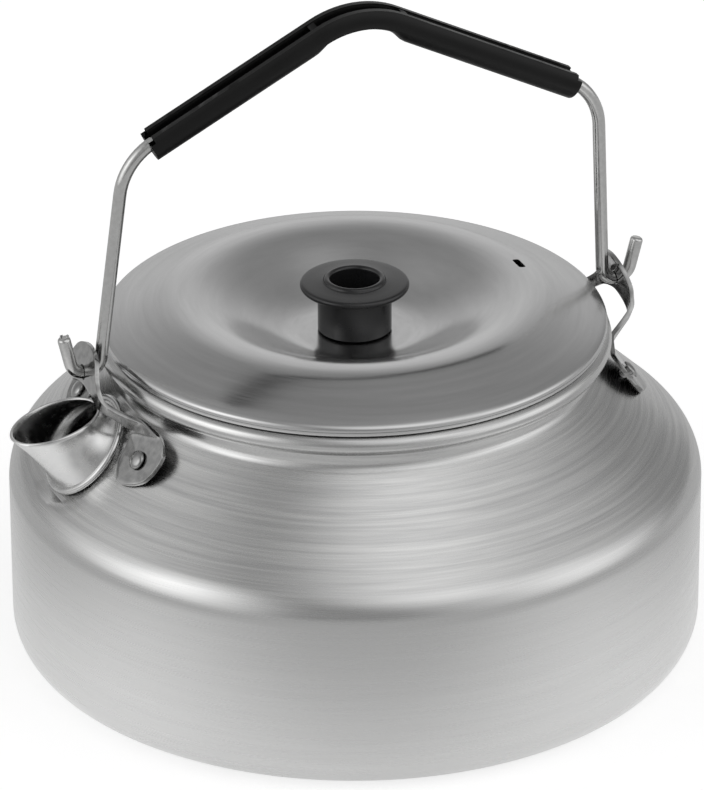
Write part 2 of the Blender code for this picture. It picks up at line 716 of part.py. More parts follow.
def knob_rivet_outline():
    floor = lid_heights()[3]
    seat = floor + 2 * GAP + KNOB_WEB
    under = floor - LID_SHEET - 2 * GAP - WASHER_THICK
    return [(0.0, seat + KNOB_RIVET_RISE), (KNOB_RIVET_HEAD * 0.7, seat + KNOB_RIVET_RISE * 0.75),
            (KNOB_RIVET_HEAD, seat + KNOB_RIVET_RISE * 0.25), (KNOB_RIVET_HEAD, seat),
            (KNOB_RIVET_SHANK, seat), (KNOB_RIVET_SHANK, under), (KNOB_RIVET_HEAD * 0.85, under),
            (KNOB_RIVET_HEAD * 0.7, under - KNOB_RIVET_TAIL), (0.0, under - KNOB_RIVET_TAIL)]


def knob_washer_outline():
    top = lid_heights()[3] - LID_SHEET - GAP
    hole = KNOB_RIVET_SHANK + GAP
    return [(hole, top), (WASHER_RADIUS, top), (WASHER_RADIUS, top - WASHER_THICK),
            (hole, top - WASHER_THICK)]


def lid_group(lid_mat, knob_mat, rivet_mat):
    lift = joint_empty("lid_axis", (0.0, 0.0, rim_top()))
    pieces = [lid(lid_mat),
              turned("lid_knob", knob_outline(), PARTS, knob_mat, steps=28, closed=True),
              turned("knob_rivet", knob_rivet_outline(), PARTS, rivet_mat, steps=20),
              turned("knob_washer", knob_washer_outline(), PARTS, rivet_mat, steps=20, closed=True)]
    for piece in pieces:
        smooth(piece)
        carry(piece, lift)


# Bail

def rounded_path(corners, steps):
    """Points along straight runs whose corners (x, z, bend radius) are rounded by arcs."""
    path = [Vector(corners[0][:2])]
    for before, corner, after in zip(corners, corners[1:], corners[2:]):
        here = Vector(corner[:2])
        back = (Vector(before[:2]) - here).normalized()
        ahead = (Vector(after[:2]) - here).normalized()
        half = back.angle(ahead) / 2
        trim = corner[2] / math.tan(half)
        middle = here + (back + ahead).normalized() * corner[2] / math.sin(half)
        start = here + back * trim - middle
        end = here + ahead * trim - middle
        for i in range(steps + 1):
            path.append(middle + start.slerp(end, i / steps).normalized() * corner[2])
    path.append(Vector(corners[-1][:2]))
    return path


def arm_height(x):
    """Height over the pivots of the wire's straight arm, a distance x from the peak."""
    return BAIL_PEAK - x * math.tan(ARM_SLOPE)


def bail_half(corner_x):
    return [(corner_x, arm_height(corner_x), CORNER_BEND), (LEG_FOOT_X, 0.0, FOOT_BEND),
            (HOOK_CORNER_X, 0.0, FOOT_BEND), (HOOK_TIP_X, HOOK_TIP_HEIGHT, 0.0)]


def bail_corners():
    front = [(-x, height, bend) for x, height, bend in reversed(bail_half(FRONT_CORNER_X))]
    return front + [(0.0, BAIL_PEAK, PEAK_BEND)] + bail_half(REAR_CORNER_X)


def swing_into_place(obj):
    obj.matrix_world = Matrix.Translation((0.0, 0.0, PIVOT_HEIGHT)) @ Matrix.Rotation(
        BAIL_SWING, 4, 'X')
    return obj


def bail_wire(mat):
    data = bpy.data.curves.new("bail_wire", 'CURVE')
    data.dimensions = '3D'
    data.bevel_depth = WIRE_RADIUS
    data.bevel_resolution = 2
    data.use_fill_caps = True
    path = rounded_path(bail_corners(), BEND_STEPS)
    spline_data = data.splines.new('POLY')
    spline_data.points.add(len(path) - 1)
    for point, where in zip(spline_data.points, path):
        point.co = (where.x, 0.0, where.y, 1.0)
    return swing_into_place(place(bpy.data.objects.new("bail_wire", data), PARTS, mat))


def grip_arm(reach):
    """Points on one straight arm from the peak's bend out to the grip's end."""
    out = Vector((math.cos(ARM_SLOPE), -math.sin(ARM_SLOPE)))
    peak = Vector((0.0, BAIL_PEAK))
    bend_end = PEAK_BEND * math.tan(ARM_SLOPE)
    end = reach / math.cos(ARM_SLOPE)
    lip_end = end - GRIP_LIP_SETBACK
    runs = [bend_end + 1.5 * MM, bend_end + 3.5 * MM, 0.5 * (bend_end + end), lip_end - LIP_STEP,
            lip_end, end]
    return [peak + out * run for run in runs]


def grip_stations():
    """Points along the wire inside the grip, each with the wire's direction there."""
    front = [Vector((-p.x, p.y)) for p in reversed(grip_arm(GRIP_FRONT_REACH))]
    rear = grip_arm(GRIP_REAR_REACH)
    ends = [(*front[0], 0.0), (0.0, BAIL_PEAK, PEAK_BEND), (*rear[-1], 0.0)]
    points = front + rounded_path(ends, 10)[1:-1] + rear
    stations = []
    for i, point in enumerate(points):
        along = points[min(i + 1, len(points) - 1)] - points[max(i - 1, 0)]
        stations.append((point, along.normalized()))
    return stations


def grip_section(x):
    """Half outline as (across, up) from the slot's lip round to the bottom and back inside."""
    bore = WIRE_RADIUS + GAP
    reach = GRIP_REAR_REACH if x > 0.0 else GRIP_FRONT_REACH
    lip_end = reach - (GRIP_LIP_SETBACK + LIP_STEP / 2) * math.cos(ARM_SLOPE)
    top = GRIP_FLAT if abs(x) < lip_end else GRIP_FLAT - GRIP_LIP_DROP
    relief = GRIP_RELIEF * (1.0 - blend(abs(x), GRIP_RELIEF_START, GRIP_RELIEF_END))
    corner = math.degrees(math.asin(top / GRIP_RADIUS))
    outer = [(GRIP_MOUTH, top)]
    for i in range(8):
        angle = math.radians(corner + (-90.0 - corner) * i / 7)
        up = GRIP_RADIUS * math.sin(angle)
        if up < 0.0:
            up *= (GRIP_RADIUS - relief) / GRIP_RADIUS
        outer.append((GRIP_RADIUS * math.cos(angle), up))
    outer[-1] = (0.0, outer[-1][1])
    inner = [(0.0, -bore)]
    for angle in (-55.0, -20.0):
        inner.append((bore * math.cos(math.radians(angle)), bore * math.sin(math.radians(angle))))
    inner.append((bore, min(1.0 * MM, top - 0.8 * MM)))
    inner.append((GRIP_MOUTH, top - GRIP_LIP_DEPTH))
    return outer, inner


def bail_grip(mat):
    rings = []
    for point, along in grip_stations():
        up = Vector((-along.y, along.x))
        outer, inner = grip_section(point.x)
        ring = outer + [(-a, u) for a, u in reversed(outer[:-1])]
        ring += [(-a, u) for a, u in reversed(inner)]
        ring += inner[1:]
        rings.append([(point.x + up.x * u, a, point.y + up.y * u) for a, u in ring])
    grip = swing_into_place(loft("bail_grip", rings, PARTS, mat))
    clip_size = (CLIP_LENGTH, 2 * (GRIP_MOUTH + CLIP_BITE), GRIP_FLAT - WIRE_RADIUS - 2 * GAP)
    for name, side in (("front_clip", -1), ("rear_clip", 1)):
        middle = WIRE_RADIUS + GAP + CLIP_CLEARANCE + clip_size[2] / 2
        on_arm = Matrix.Translation((side * CLIP_FROM_PEAK, 0.0, arm_height(CLIP_FROM_PEAK)))
        frame = on_arm @ Matrix.Rotation(side * ARM_SLOPE, 4, 'Y') @ Matrix.Translation(
            (0.0, 0.0, middle))
        combine(grip, swing_into_place(block(name, clip_size, frame)), 'UNION')
    smooth(grip)
    return grip


def bail_group(wire_mat, grip_mat):
    pivot = joint_empty("bail_axis", (0.0, 0.0, PIVOT_HEIGHT))
    for piece in (bail_wire(wire_mat), bail_grip(grip_mat)):
        carry(piece, pivot)


def build():
    clear_scene()
    spun, pressed, bright = spun_aluminium(), pressed_aluminium(), bright_steel()
    kettle_body(spun)
    spout(pressed)
    ear("spout_side_ear", -1, bright)
    ear("rear_ear", 1, bright)
    ear_rivets(bright)
    lid_group(pressed, black_phenolic(), bright)
    bail_group(drawn_wire(), black_nylon())


build()
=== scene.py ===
"""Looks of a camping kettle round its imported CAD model: finer pieces, finishes, studio and camera.

Metres, in the CAD frame: +Z up, the spout towards -X, the middle of the base at the origin.
Lengths in the lists below are millimetres.
"""

import math

import bmesh
import bpy
from mathutils import Matrix, Vector


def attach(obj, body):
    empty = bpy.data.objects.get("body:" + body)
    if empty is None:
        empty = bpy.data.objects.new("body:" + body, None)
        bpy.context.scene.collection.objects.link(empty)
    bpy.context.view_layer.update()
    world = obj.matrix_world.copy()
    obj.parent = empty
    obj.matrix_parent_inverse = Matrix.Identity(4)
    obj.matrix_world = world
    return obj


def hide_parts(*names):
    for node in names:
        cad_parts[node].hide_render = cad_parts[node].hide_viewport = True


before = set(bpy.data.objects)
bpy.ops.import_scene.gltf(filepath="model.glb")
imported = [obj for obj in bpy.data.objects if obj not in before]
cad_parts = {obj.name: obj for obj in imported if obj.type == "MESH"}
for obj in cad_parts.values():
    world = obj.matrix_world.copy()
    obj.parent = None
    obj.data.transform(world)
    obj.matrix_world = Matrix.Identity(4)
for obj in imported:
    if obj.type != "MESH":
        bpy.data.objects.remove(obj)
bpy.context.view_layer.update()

MM = 0.001
GAP = 0.3                          # between seated pieces, as in the CAD
MERGE_DISTANCE = 0.002
SHEET_DRILL = 6.0                  # length of a drill that goes through one sheet

# Body
SHEET = 0.9
BODY_RADIUS = 77.5
BASE_CORNER = 8.0
WALL_TOP = 39.7
SHOULDER_ROUND = 10.5
SHOULDER_TURN = math.radians(47.4)
NECK_RADIUS = 53.1                 # narrower than the CAD's, under a fuller bead to the same rim
NECK_FILLET = 3.0
NECK_HEIGHT = 3.17
BEAD_RADIUS = 2.3
BEAD_REACH = 57.0
BEAD_RISE = 1.6
BODY_STEPS = 288
BASE_RINGS = (0.0, 24.0, 48.0)
BEAD_ARC = (180, -50)              # the rolled bead's sweep, in degrees

# Seat that is pressed into the shoulder for the spout
SEAT_HEIGHT = 57.3
SEAT_TILT = math.radians(40.5)
SEAT_DEPTH = 0.2
SEAT_SUNK = (13.4, 15.6)           # flat and outer radius where the sheet goes in
SEAT_RAISED = (11.2, 12.8)         # and where it is drawn out
SEAT_REACH = 8.0                   # how far from its plane the press still takes hold
SEAT_DRILL = 8.0

# Spout
SPOUT_SHEET = 0.8
SPIGOT_RADIUS = 9.4
SPOUT_FOOT = 11.0
SPOUT_BEAD = 12.3
MOUTH = (-70.7, 64.6)
MOUTH_TILT = math.radians(76.0)
MOUTH_HALF_LENGTH = 10.5
MOUTH_HALF_WIDTH = 8.4
SPOUT_WAIST = 0.9
SPOUT_WAIST_SHARE = 0.75           # of the waist along the oval's length
SPOUT_DRAW = 0.19                  # how much the length draws in between foot and mouth
SPOUT_FOOT_RISE = 1.5
SPOUT_FOOT_FALL = 0.25             # of that rise per millimetre of inset
SPOUT_STEPS = 72
SPOUT_ROWS = 14
# The foot as (radius, height over the seat): the bead, the spigot and its tail turned out inside
SPOUT_FOOT_ROWS = [(SPOUT_FOOT, 1.6), (SPOUT_FOOT + 0.35, 1.72), (SPOUT_BEAD - 0.5, 1.7),
                   (SPOUT_BEAD - 0.12, 1.4), (SPOUT_BEAD, 1.0), (SPOUT_BEAD - 0.12, 0.6),
                   (SPOUT_BEAD - 0.45, GAP), (SPIGOT_RADIUS, GAP), (SPIGOT_RADIUS, -SHEET - GAP),
                   (SPIGOT_RADIUS + 1.1, -SHEET - 0.4), (SPIGOT_RADIUS + 1.2, -SHEET - 1.1),
                   (SPIGOT_RADIUS - 0.3, -SHEET - 1.2), (SPIGOT_RADIUS - SPOUT_SHEET, -SHEET - 0.4),
                   (SPIGOT_RADIUS - SPOUT_SHEET, 0.9), (SPOUT_FOOT - SPOUT_SHEET - 0.2, 1.1)]
# The rounded lip as (inset, lift), from the inside out
SPOUT_LIP = [(SPOUT_SHEET, 0.1), (SPOUT_SHEET * 0.75, 0.32), (SPOUT_SHEET * 0.5, 0.4),
             (SPOUT_SHEET * 0.2, 0.3)]

# Lid and knob
LID_SHEET = 0.8
LID_RADIUS = 56.0
LID_EDGE = 2.2
LID_SEAT = 0.12                    # between the rim and the lid's edge
LID_SLOPE = math.radians(21.0)
RIDGE_RADIUS = 38.4
RIDGE_ROUND = 14.0
DISH_DEPTH = 8.9
FLOOR_RADIUS = 12.0
PLUG_DEPTH = 6.0
PLUG_FIT = 0.45
DISH_RINGS = 24
FLOOR_RING = 7.0
EDGE_SETBACK = 1.0                 # of the folded edge's start from the lid's radius
HEM_RISE = 0.9                     # of the plug's upper end over the edge's bottom
# The edge as (from the lid's radius, from its upper corner): a round over the top and a hem line
LID_EDGE_TOP = [(-0.62, 0.16), (-0.3, -0.1), (-0.08, -0.45), (0.0, -0.85), (-0.02, -1.08),
                (-0.2, -1.16), (-0.02, -1.26)]
# and as (from the lid's radius, from its bottom): a rounded lower lip
LID_EDGE_LIP = [(0.0, 0.5), (-0.12, 0.18), (-0.4, 0.0)]
PLUG_ROUND = 0.3
VENT_RADIUS = 39.6
VENT_SLOT = (1.6, 4.4, 6.0)
VENT_ROUND = 0.55
KNOB_RADIUS = 8.2
KNOB_FLANGE = 12.1
KNOB_HEIGHT = 12.3
KNOB_BORE = 5.4
KNOB_WEB = 2.8
KNOB_STEPS = 96
KNOB_CORNER = 0.5                  # inside the bore's foot
KNOB_LIP = 0.75                    # round of the collar that stands round the bore
KNOB_GROOVE = (1.15, 0.35, 0.4)    # from the collar's middle, depth and round of the groove by it
# The flange's top as (from its edge, depth below the knob's top); the next depths are from there too
KNOB_FLANGE_TOP = [(2.6, 0.8), (1.0, 0.98)]
KNOB_RIM = (0.75, 1.75)            # round and depth of the flange's rim
KNOB_UNDERSIDE = (1.6, 2.86)       # from the flange's edge and depth
KNOB_THROAT = (1.1, 3.3)           # from the stem and depth
KNOB_THROAT_ROUND = (1.0, 4.3)     # round and depth of the corner by the stem
KNOB_FOOT = 0.25                   # chamfer at the stem's foot
RIVET_HOLE = 1.8
KNOB_RIVET_HEAD = 3.4
KNOB_RIVET_SKIRT = 0.25
KNOB_RIVET_DOME = 0.95
KNOB_RIVET_SHANK = 1.5
# The rivet's set tail as (radius, drop)
KNOB_RIVET_TAIL = [(2.9, 0.0), (2.85, 0.4), (2.4, 0.85), (0.0, 0.9)]
KNOB_RIVET_STEPS = 40
WASHER_RADIUS = 5.5
WASHER_SHEET = 0.8
WASHER_ROUND = 0.12
WASHER_STEPS = 48
LID_STEPS = 240

# Ears
EAR_SHEET = 1.0
EAR_STAND = 63.6
EAR_NECK = 56.6                    # the flanks come no nearer to the axis than this
EAR_TOP_LEAN = 1.8                 # of the tab, inwards
EAR_LEAN_RISE = 8.0                # height over the pivot by which it is full
EAR_FLANK_START = 9.2
EAR_FLANK_SLOPE = 1.15
EAR_TUCK = 0.6
EAR_TUCK_HEIGHT = -4.0
EAR_BEND = 1.2
EAR_FOOT_TURN = math.radians(9.0)
EAR_FOOT_RISE = math.radians(36.0)
EAR_FOOT_LIFT = 0.5
EAR_UPPER_EDGE = [(0.0, 6.2), (5.0, 4.8), (7.9, 1.1), (8.8, -1.2), (10.4, -3.8), (12.4, -6.0),
                  (15.4, -6.9), (18.6, -7.9), (21.2, -8.7), (23.4, -9.6), (24.8, -11.0), (25.3, -12.6)]
EAR_LOWER_EDGE = [(0.0, -2.8), (3.6, -3.4), (6.3, -4.4), (8.0, -5.4), (9.4, -6.8), (10.7, -8.9),
                  (12.0, -12.3), (13.2, -16.0), (17.1, -18.6), (20.9, -18.4), (23.8, -16.9),
                  (25.1, -14.6)]
EAR_SPAN_STEPS = 6
EAR_ROWS = 14
PIVOT_HEIGHT = 75.5
RIVET_ACROSS = 18.6
RIVET_HEIGHT = 60.5
RIVET_SHANK = 1.2
RIVET_HEAD = 2.15
RIVET_DOME = 1.1
RIVET_SKIRT = 0.22
RIVET_EDGE = 0.08
RIVET_SLACK = 0.7                  # from the shell's inner face to the tail
# The set tail as (share of the head's radius, drop)
RIVET_TAIL = [(0.95, 0.0), (1.0, 0.2), (0.92, 0.6), (0.75, 0.8), (0.0, 0.8)]
RIVET_STEPS = 32
EAR_EDGE_ROUND = 0.16
PIVOT_DRILL = 6.0

# Bail: places along X and heights over the pivots
WIRE_RADIUS = 1.45
BAIL_SWING = math.radians(1.9)
BAIL_PEAK = 76.8
ARM_SLOPE = math.radians(27.1)
PEAK_BEND = 20.0
CORNER_BEND = 14.5
FOOT_BEND = 3.2
FRONT_CORNER_X = 54.1
REAR_CORNER_X = 57.6
LEG_FOOT_X = 60.1
HOOK_CORNER_X = 66.2
HOOK_TIP = (68.4, 9.2)
WIRE_SIDES = 24
WIRE_END_ROUND = 0.75
WIRE_RUN, WIRE_TURN = 6.0, 5.0     # lengths of its rings along straights, and degrees round bends

# Grip
GRIP_RADIUS = 3.75
GRIP_FLAT = 2.5
GRIP_FRONT_REACH = 48.3
GRIP_REAR_REACH = 51.5
GRIP_MOUTH = 1.45
GRIP_RELIEF = 1.2
GRIP_LIP_SETBACK = 1.2
GRIP_LIP_DROP = 1.0
CLIP_FROM_PEAK = 9.6
CLIP_LENGTH = 1.6
CLIP_BITE = 0.75                   # into each side of the slot
CLIP_CLEARANCE = 0.1
GRIP_LIP_CUT = (12.0, 4.0)         # width and height of the cutter that sets back the lips
GRIP_THROAT = (1.15, 1.85)         # heights where the bore narrows to the slot
GRIP_ROUND = 0.22
GRIP_RUN, GRIP_TURN = 1.2, 4.0
RELIEF_FADE = (6.5, 10.5)          # distances from the peak over which the relief ends

# Finishes: lengths along the turning, and the height over which the streaks come in
MARK_LENGTH = 25.0
STREAK_LENGTH = 50.0
STREAK_FADE = 9.0
STREAKS_BELOW = 0.12               # share of the streaks that is left below that height
SPUN_ROUGHNESS = (-0.04, 0.05)     # spread of each finish's roughness round its own value
PRESSED_ROUGHNESS = (-0.04, 0.08)
MOULDED_ROUGHNESS = (-0.05, 0.07)
TOOL_MARK_DEPTH = 0.02
DENT_DEPTH = 0.3
DENTS_PER_GRAIN = 0.25
SKIN_DEPTH = 0.04
FLOWS_PER_MM = 0.12
PLASTIC_IOR = 1.53

# Camera, from the photograph's perspective: the view comes 22 degrees round from -Y towards the spout
VIEW_TURN = math.radians(-22.0)
VIEW_RISE = math.radians(26.29)
VIEW_ROLL = math.radians(0.2)
VIEW_DISTANCE = 1360.5
VIEW_TARGET = (-0.66, 57.82)       # right of the axis and up, in the picture's directions
LENS_PIXELS = 6104.0
PICTURE_HEIGHT = 790.0
SENSOR = 36.0
CAMERA_RANGE = (0.1, 20.0)         # metres

# Studio: soft patches of light as (azimuth, elevation, reach, strength). The azimuth is measured
# from the camera's side, positive to the picture's right; angles in degrees.
LIGHT_PATCHES = [(-125, 15, 42, 0.10), (-85, 15, 42, 0.75), (-55, 15, 42, 0.85), (50, 15, 42, 0.45),
                 (85, 15, 42, 0.90), (180, 15, 42, 0.45), (-100, 48, 36, 0.20), (-60, 34, 26, 0.70),
                 (25, 48, 36, 0.80), (65, 48, 36, 0.45), (0, 72, 26, 0.42), (90, 72, 26, 0.28)]
ROOM_LEVEL = 0.33
FLOOR_FAR = 0.17                   # extra brightness of the floor in reflections
# and painted pools of light in it, seen only in reflections, as (right, away, inner and outer reach,
# level), in metres from the object's axis
PAINTED_FLOOR_LIGHT_POOLS = [(0.0, 0.0, 0.075, 0.16, 0.36), (-0.10, -0.08, 0.0, 0.11, 0.28),
               (0.11, -0.07, 0.0, 0.11, 0.26)]
FLOOR_SEEN = 0.64                  # its glow to the camera, which keeps it white
FLOOR_DROP = 0.3                   # how far it lies below the object's base
FLOOR_SIZE = 8.0                   # metres


# Modelling helpers

def activate(obj):
    bpy.ops.object.select_all(action='DESELECT')
    obj.select_set(True)
    bpy.context.view_layer.objects.active = obj


def drawn(name, points):
    """A chain of edges pulled out of one vertex; points are millimetres. Stays in edit mode."""
    bpy.ops.object.select_all(action='DESELECT')
    bpy.ops.mesh.primitive_plane_add(size=MM, location=Vector(points[0]) * MM)
    obj = bpy.context.active_object
    obj.name = name
    obj.data.name = name
    bpy.ops.object.transform_apply()
    bpy.ops.object.mode_set(mode='EDIT')
    bpy.ops.mesh.select_all(action='SELECT')
    bpy.ops.mesh.merge(type='CENTER')
    for here, there in zip(points, points[1:]):
        step = (Vector(there) - Vector(here)) * MM
        bpy.ops.mesh.extrude_vertices_move(TRANSFORM_OT_translate={"value": step})
    return obj


def close_up():
    """Joins what touches, turns the faces outwards and leaves edit mode."""
    bpy.ops.mesh.select_all(action='SELECT')
    bpy.ops.mesh.remove_doubles(threshold=MERGE_DISTANCE * MM)
    bpy.ops.mesh.normals_make_consistent(inside=False)
    bpy.ops.object.mode_set(mode='OBJECT')


def spun(name, outline, steps):
    """Spins an outline of (radius, height) round Z."""
    obj = drawn(name, [(radius, 0.0, height) for radius, height in outline])
    bpy.ops.mesh.select_all(action='SELECT')
    bpy.ops.mesh.spin(steps=steps, angle=2 * math.pi, center=(0, 0, 0), axis=(0, 0, 1))
    close_up()
    return obj


def apply_modifier(obj, kind, **settings):
    modifier = obj.modifiers.new(kind.title(), kind)
    for key, value in settings.items():
        setattr(modifier, key, value)
    activate(obj)
    bpy.ops.object.modifier_apply(modifier=modifier.name)


def cut(obj, cutter, operation='DIFFERENCE'):
    apply_modifier(obj, 'BOOLEAN', object=cutter, operation=operation, solver='EXACT')
    bpy.data.objects.remove(cutter)


def drill(obj, matrix, radius, depth, sides=48):
    """Bores a hole along the matrix's Z."""
    bpy.ops.object.select_all(action='DESELECT')
    bpy.ops.mesh.primitive_cylinder_add(vertices=sides, radius=radius * MM, depth=depth * MM)
    tool = bpy.context.active_object
    tool.matrix_world = matrix
    cut(obj, tool)


def bar(matrix, size):
    bpy.ops.object.select_all(action='DESELECT')
    bpy.ops.mesh.primitive_cube_add(size=1.0)
    tool = bpy.context.active_object
    tool.matrix_world = matrix @ Matrix.Diagonal((*(Vector(size) * MM), 1.0))
    return tool


def settle(obj, matrix):
    """Puts a piece in its place and its place into its mesh."""
    obj.matrix_world = matrix
    activate(obj)
    bpy.ops.object.transform_apply()


def soften(obj, angle=35.0):
    activate(obj)
    bpy.ops.object.shade_smooth_by_angle(angle=math.radians(angle))


def finish_piece(obj, body, nodes, finish):
    obj.data.materials.clear()
    obj.data.materials.append(finish)
    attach(obj, body)
    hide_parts(*nodes)


def arc(centre, radius, start, end, steps):
    """Points on an arc of (radius, height); angles in degrees."""
    points = []
    for i in range(steps + 1):
        angle = math.radians(start + (end - start) * i / steps)
        points.append((centre[0] + radius * math.cos(angle), centre[1] + radius * math.sin(angle)))
    return points


def along(start, end, steps):
    """Points between two ends, the ends left out."""
    return [tuple(Vector(start).lerp(Vector(end), i / steps)) for i in range(1, steps)]


def parallel(points, distance):
    """The outline to the left of another one."""
    result = []
    for i, point in enumerate(points):
        before = Vector(points[max(i - 1, 0)])
        here = Vector(point)
        after = Vector(points[min(i + 1, len(points) - 1)])
        sides = []
        for step in (here - before, after - here):
            if step.length > 1e-9:
                step.normalize()
                sides.append(Vector((-step.y, step.x)))
        side = sum(sides, Vector((0.0, 0.0))).normalized()
        result.append(tuple(here + side * distance / max(side.dot(sides[0]), 0.5)))
    return result


def blend(value, low, high):
    """Smooth step from 0 at low to 1 at high."""
    t = min(max((value - low) / (high - low), 0.0), 1.0)
    return t * t * (3.0 - 2.0 * t)


# Shoulder and neck, in millimetres: the shoulder is the CAD's

def cone_start():
    return (BODY_RADIUS - SHOULDER_ROUND * (1 - math.cos(SHOULDER_TURN)),
            WALL_TOP + SHOULDER_ROUND * math.sin(SHOULDER_TURN))


def neck_corner():
    radius, height = cone_start()
    return height + (radius - NECK_RADIUS) / math.tan(SHOULDER_TURN)


def neck_trim():
    return NECK_FILLET * math.tan(SHOULDER_TURN / 2)


def fillet_centre():
    return NECK_RADIUS + NECK_FILLET, neck_corner() + neck_trim()


def neck_top():
    return neck_corner() + neck_trim() + NECK_HEIGHT


def rim_top():
    return neck_top() + BEAD_RISE + BEAD_RADIUS


def shell_radius(height, outset=0.0):
    centre = fillet_centre()
    below = centre[1] - height
    hollow = NECK_FILLET - outset
    if below <= 0.0:
        return NECK_RADIUS + outset
    if below < hollow * math.sin(SHOULDER_TURN):
        return centre[0] - math.sqrt(hollow ** 2 - below ** 2)
    radius, start = cone_start()
    return radius - (height - start) * math.tan(SHOULDER_TURN) + outset / math.cos(SHOULDER_TURN)


def frame_of(x_axis, y_axis, z_axis, origin):
    rotation = Matrix((x_axis, y_axis, z_axis)).transposed().to_4x4()
    return Matrix.Translation(Vector(origin) * MM) @ rotation


def seat_frame():
    out = Vector((-math.cos(SEAT_TILT), 0.0, math.sin(SEAT_TILT)))
    down = Vector((-math.sin(SEAT_TILT), 0.0, -math.cos(SEAT_TILT)))
    on_shoulder = Vector((-shell_radius(SEAT_HEIGHT), 0.0, SEAT_HEIGHT))
    return frame_of(down, out.cross(down), out, on_shoulder - out * SEAT_DEPTH)


def foot_frame(side, hand):
    radius = shell_radius(RIVET_HEIGHT)
    spot = (side * math.sqrt(radius ** 2 - RIVET_ACROSS ** 2), hand * RIVET_ACROSS, RIVET_HEIGHT)
    level = math.cos(EAR_FOOT_RISE)
    out = Vector((side * level * math.cos(EAR_FOOT_TURN), hand * level * math.sin(EAR_FOOT_TURN),
                  math.sin(EAR_FOOT_RISE)))
    level_way = Vector((0.0, 0.0, 1.0)).cross(out).normalized()
    return frame_of(level_way.cross(out), level_way, out, spot)


def rivet_frames():
    return [foot_frame(side, hand) for side, hand in ((-1, -1), (-1, 1), (1, -1), (1, 1))]


# Pieces

def press_seat(obj):
    """Sinks or raises both faces of the shoulder's sheet onto the spout's flat seat."""
    seat = seat_frame()
    back = seat.inverted()
    for vert in obj.data.vertices:
        local = back @ vert.co / MM
        distance = math.hypot(local.x, local.y)
        if abs(local.z) > SEAT_REACH or distance > SEAT_SUNK[1]:
            continue
        radius = math.hypot(vert.co.x, vert.co.y) / MM
        inside = radius < shell_radius(vert.co.z / MM, -SHEET / 2)
        lift = (-SHEET if inside else 0.0) - local.z
        flat, edge = SEAT_RAISED if lift > 0.0 else SEAT_SUNK
        local.z += lift * (1.0 - blend(distance, flat, edge))
        vert.co = seat @ (local * MM)


def body_outline():
    turn = math.degrees(SHOULDER_TURN)
    wall_foot = (BODY_RADIUS, BASE_CORNER)
    outer = [(radius, 0.0) for radius in BASE_RINGS]
    outer += arc((BODY_RADIUS - BASE_CORNER, BASE_CORNER), BASE_CORNER, -90, 0, 12)
    outer += along(wall_foot, (BODY_RADIUS, WALL_TOP), 6)
    outer += arc((BODY_RADIUS - SHOULDER_ROUND, WALL_TOP), SHOULDER_ROUND, 0, turn, 14)
    fillet = arc(fillet_centre(), NECK_FILLET, 180 + turn, 180, 8)
    outer += along(outer[-1], fillet[0], 16)
    outer += fillet
    outer += along(outer[-1], (NECK_RADIUS, neck_top()), 4)
    outer.append((NECK_RADIUS, neck_top()))
    inner = parallel(outer, SHEET)
    inner[0] = (0.0, SHEET)
    roll = arc((BEAD_REACH - BEAD_RADIUS, neck_top() + BEAD_RISE), BEAD_RADIUS, *BEAD_ARC, 16)
    return inner + roll + list(reversed(outer))


def body(finish):
    obj = spun("body_shell", body_outline(), BODY_STEPS)
    press_seat(obj)
    drill(obj, seat_frame(), SPIGOT_RADIUS + GAP, SEAT_DRILL, 72)
    for spot in rivet_frames():
        drill(obj, spot, RIVET_SHANK + GAP, SHEET_DRILL, 24)
    soften(obj, 30.0)
    finish_piece(obj, "kettle", ["kettle_body"], finish)


def hoop(centre, tilt, half_length, half_width):
    """Adds a ring to the mesh in edit mode; the tilt is the rise of the way it faces, towards -X."""
    bpy.ops.mesh.select_all(action='DESELECT')
    bpy.ops.mesh.primitive_circle_add(vertices=SPOUT_STEPS, radius=half_length * MM,
                                      location=(centre[0] * MM, 0.0, centre[1] * MM),
                                      rotation=(0.0, tilt - math.pi / 2, 0.0))
    bpy.ops.transform.resize(value=(1.0, half_width / half_length, 1.0))


def bridge(obj, first, second, count):
    """Joins two rings of the mesh in edit mode by their numbers."""
    mesh = bmesh.from_edit_mesh(obj.data)
    mesh.verts.ensure_lookup_table()
    bpy.ops.mesh.select_all(action='DESELECT')
    for ring in (first, second):
        for vert in mesh.verts[ring * count:(ring + 1) * count]:
            vert.select = True
    mesh.select_flush(True)
    bpy.ops.mesh.bridge_edge_loops()


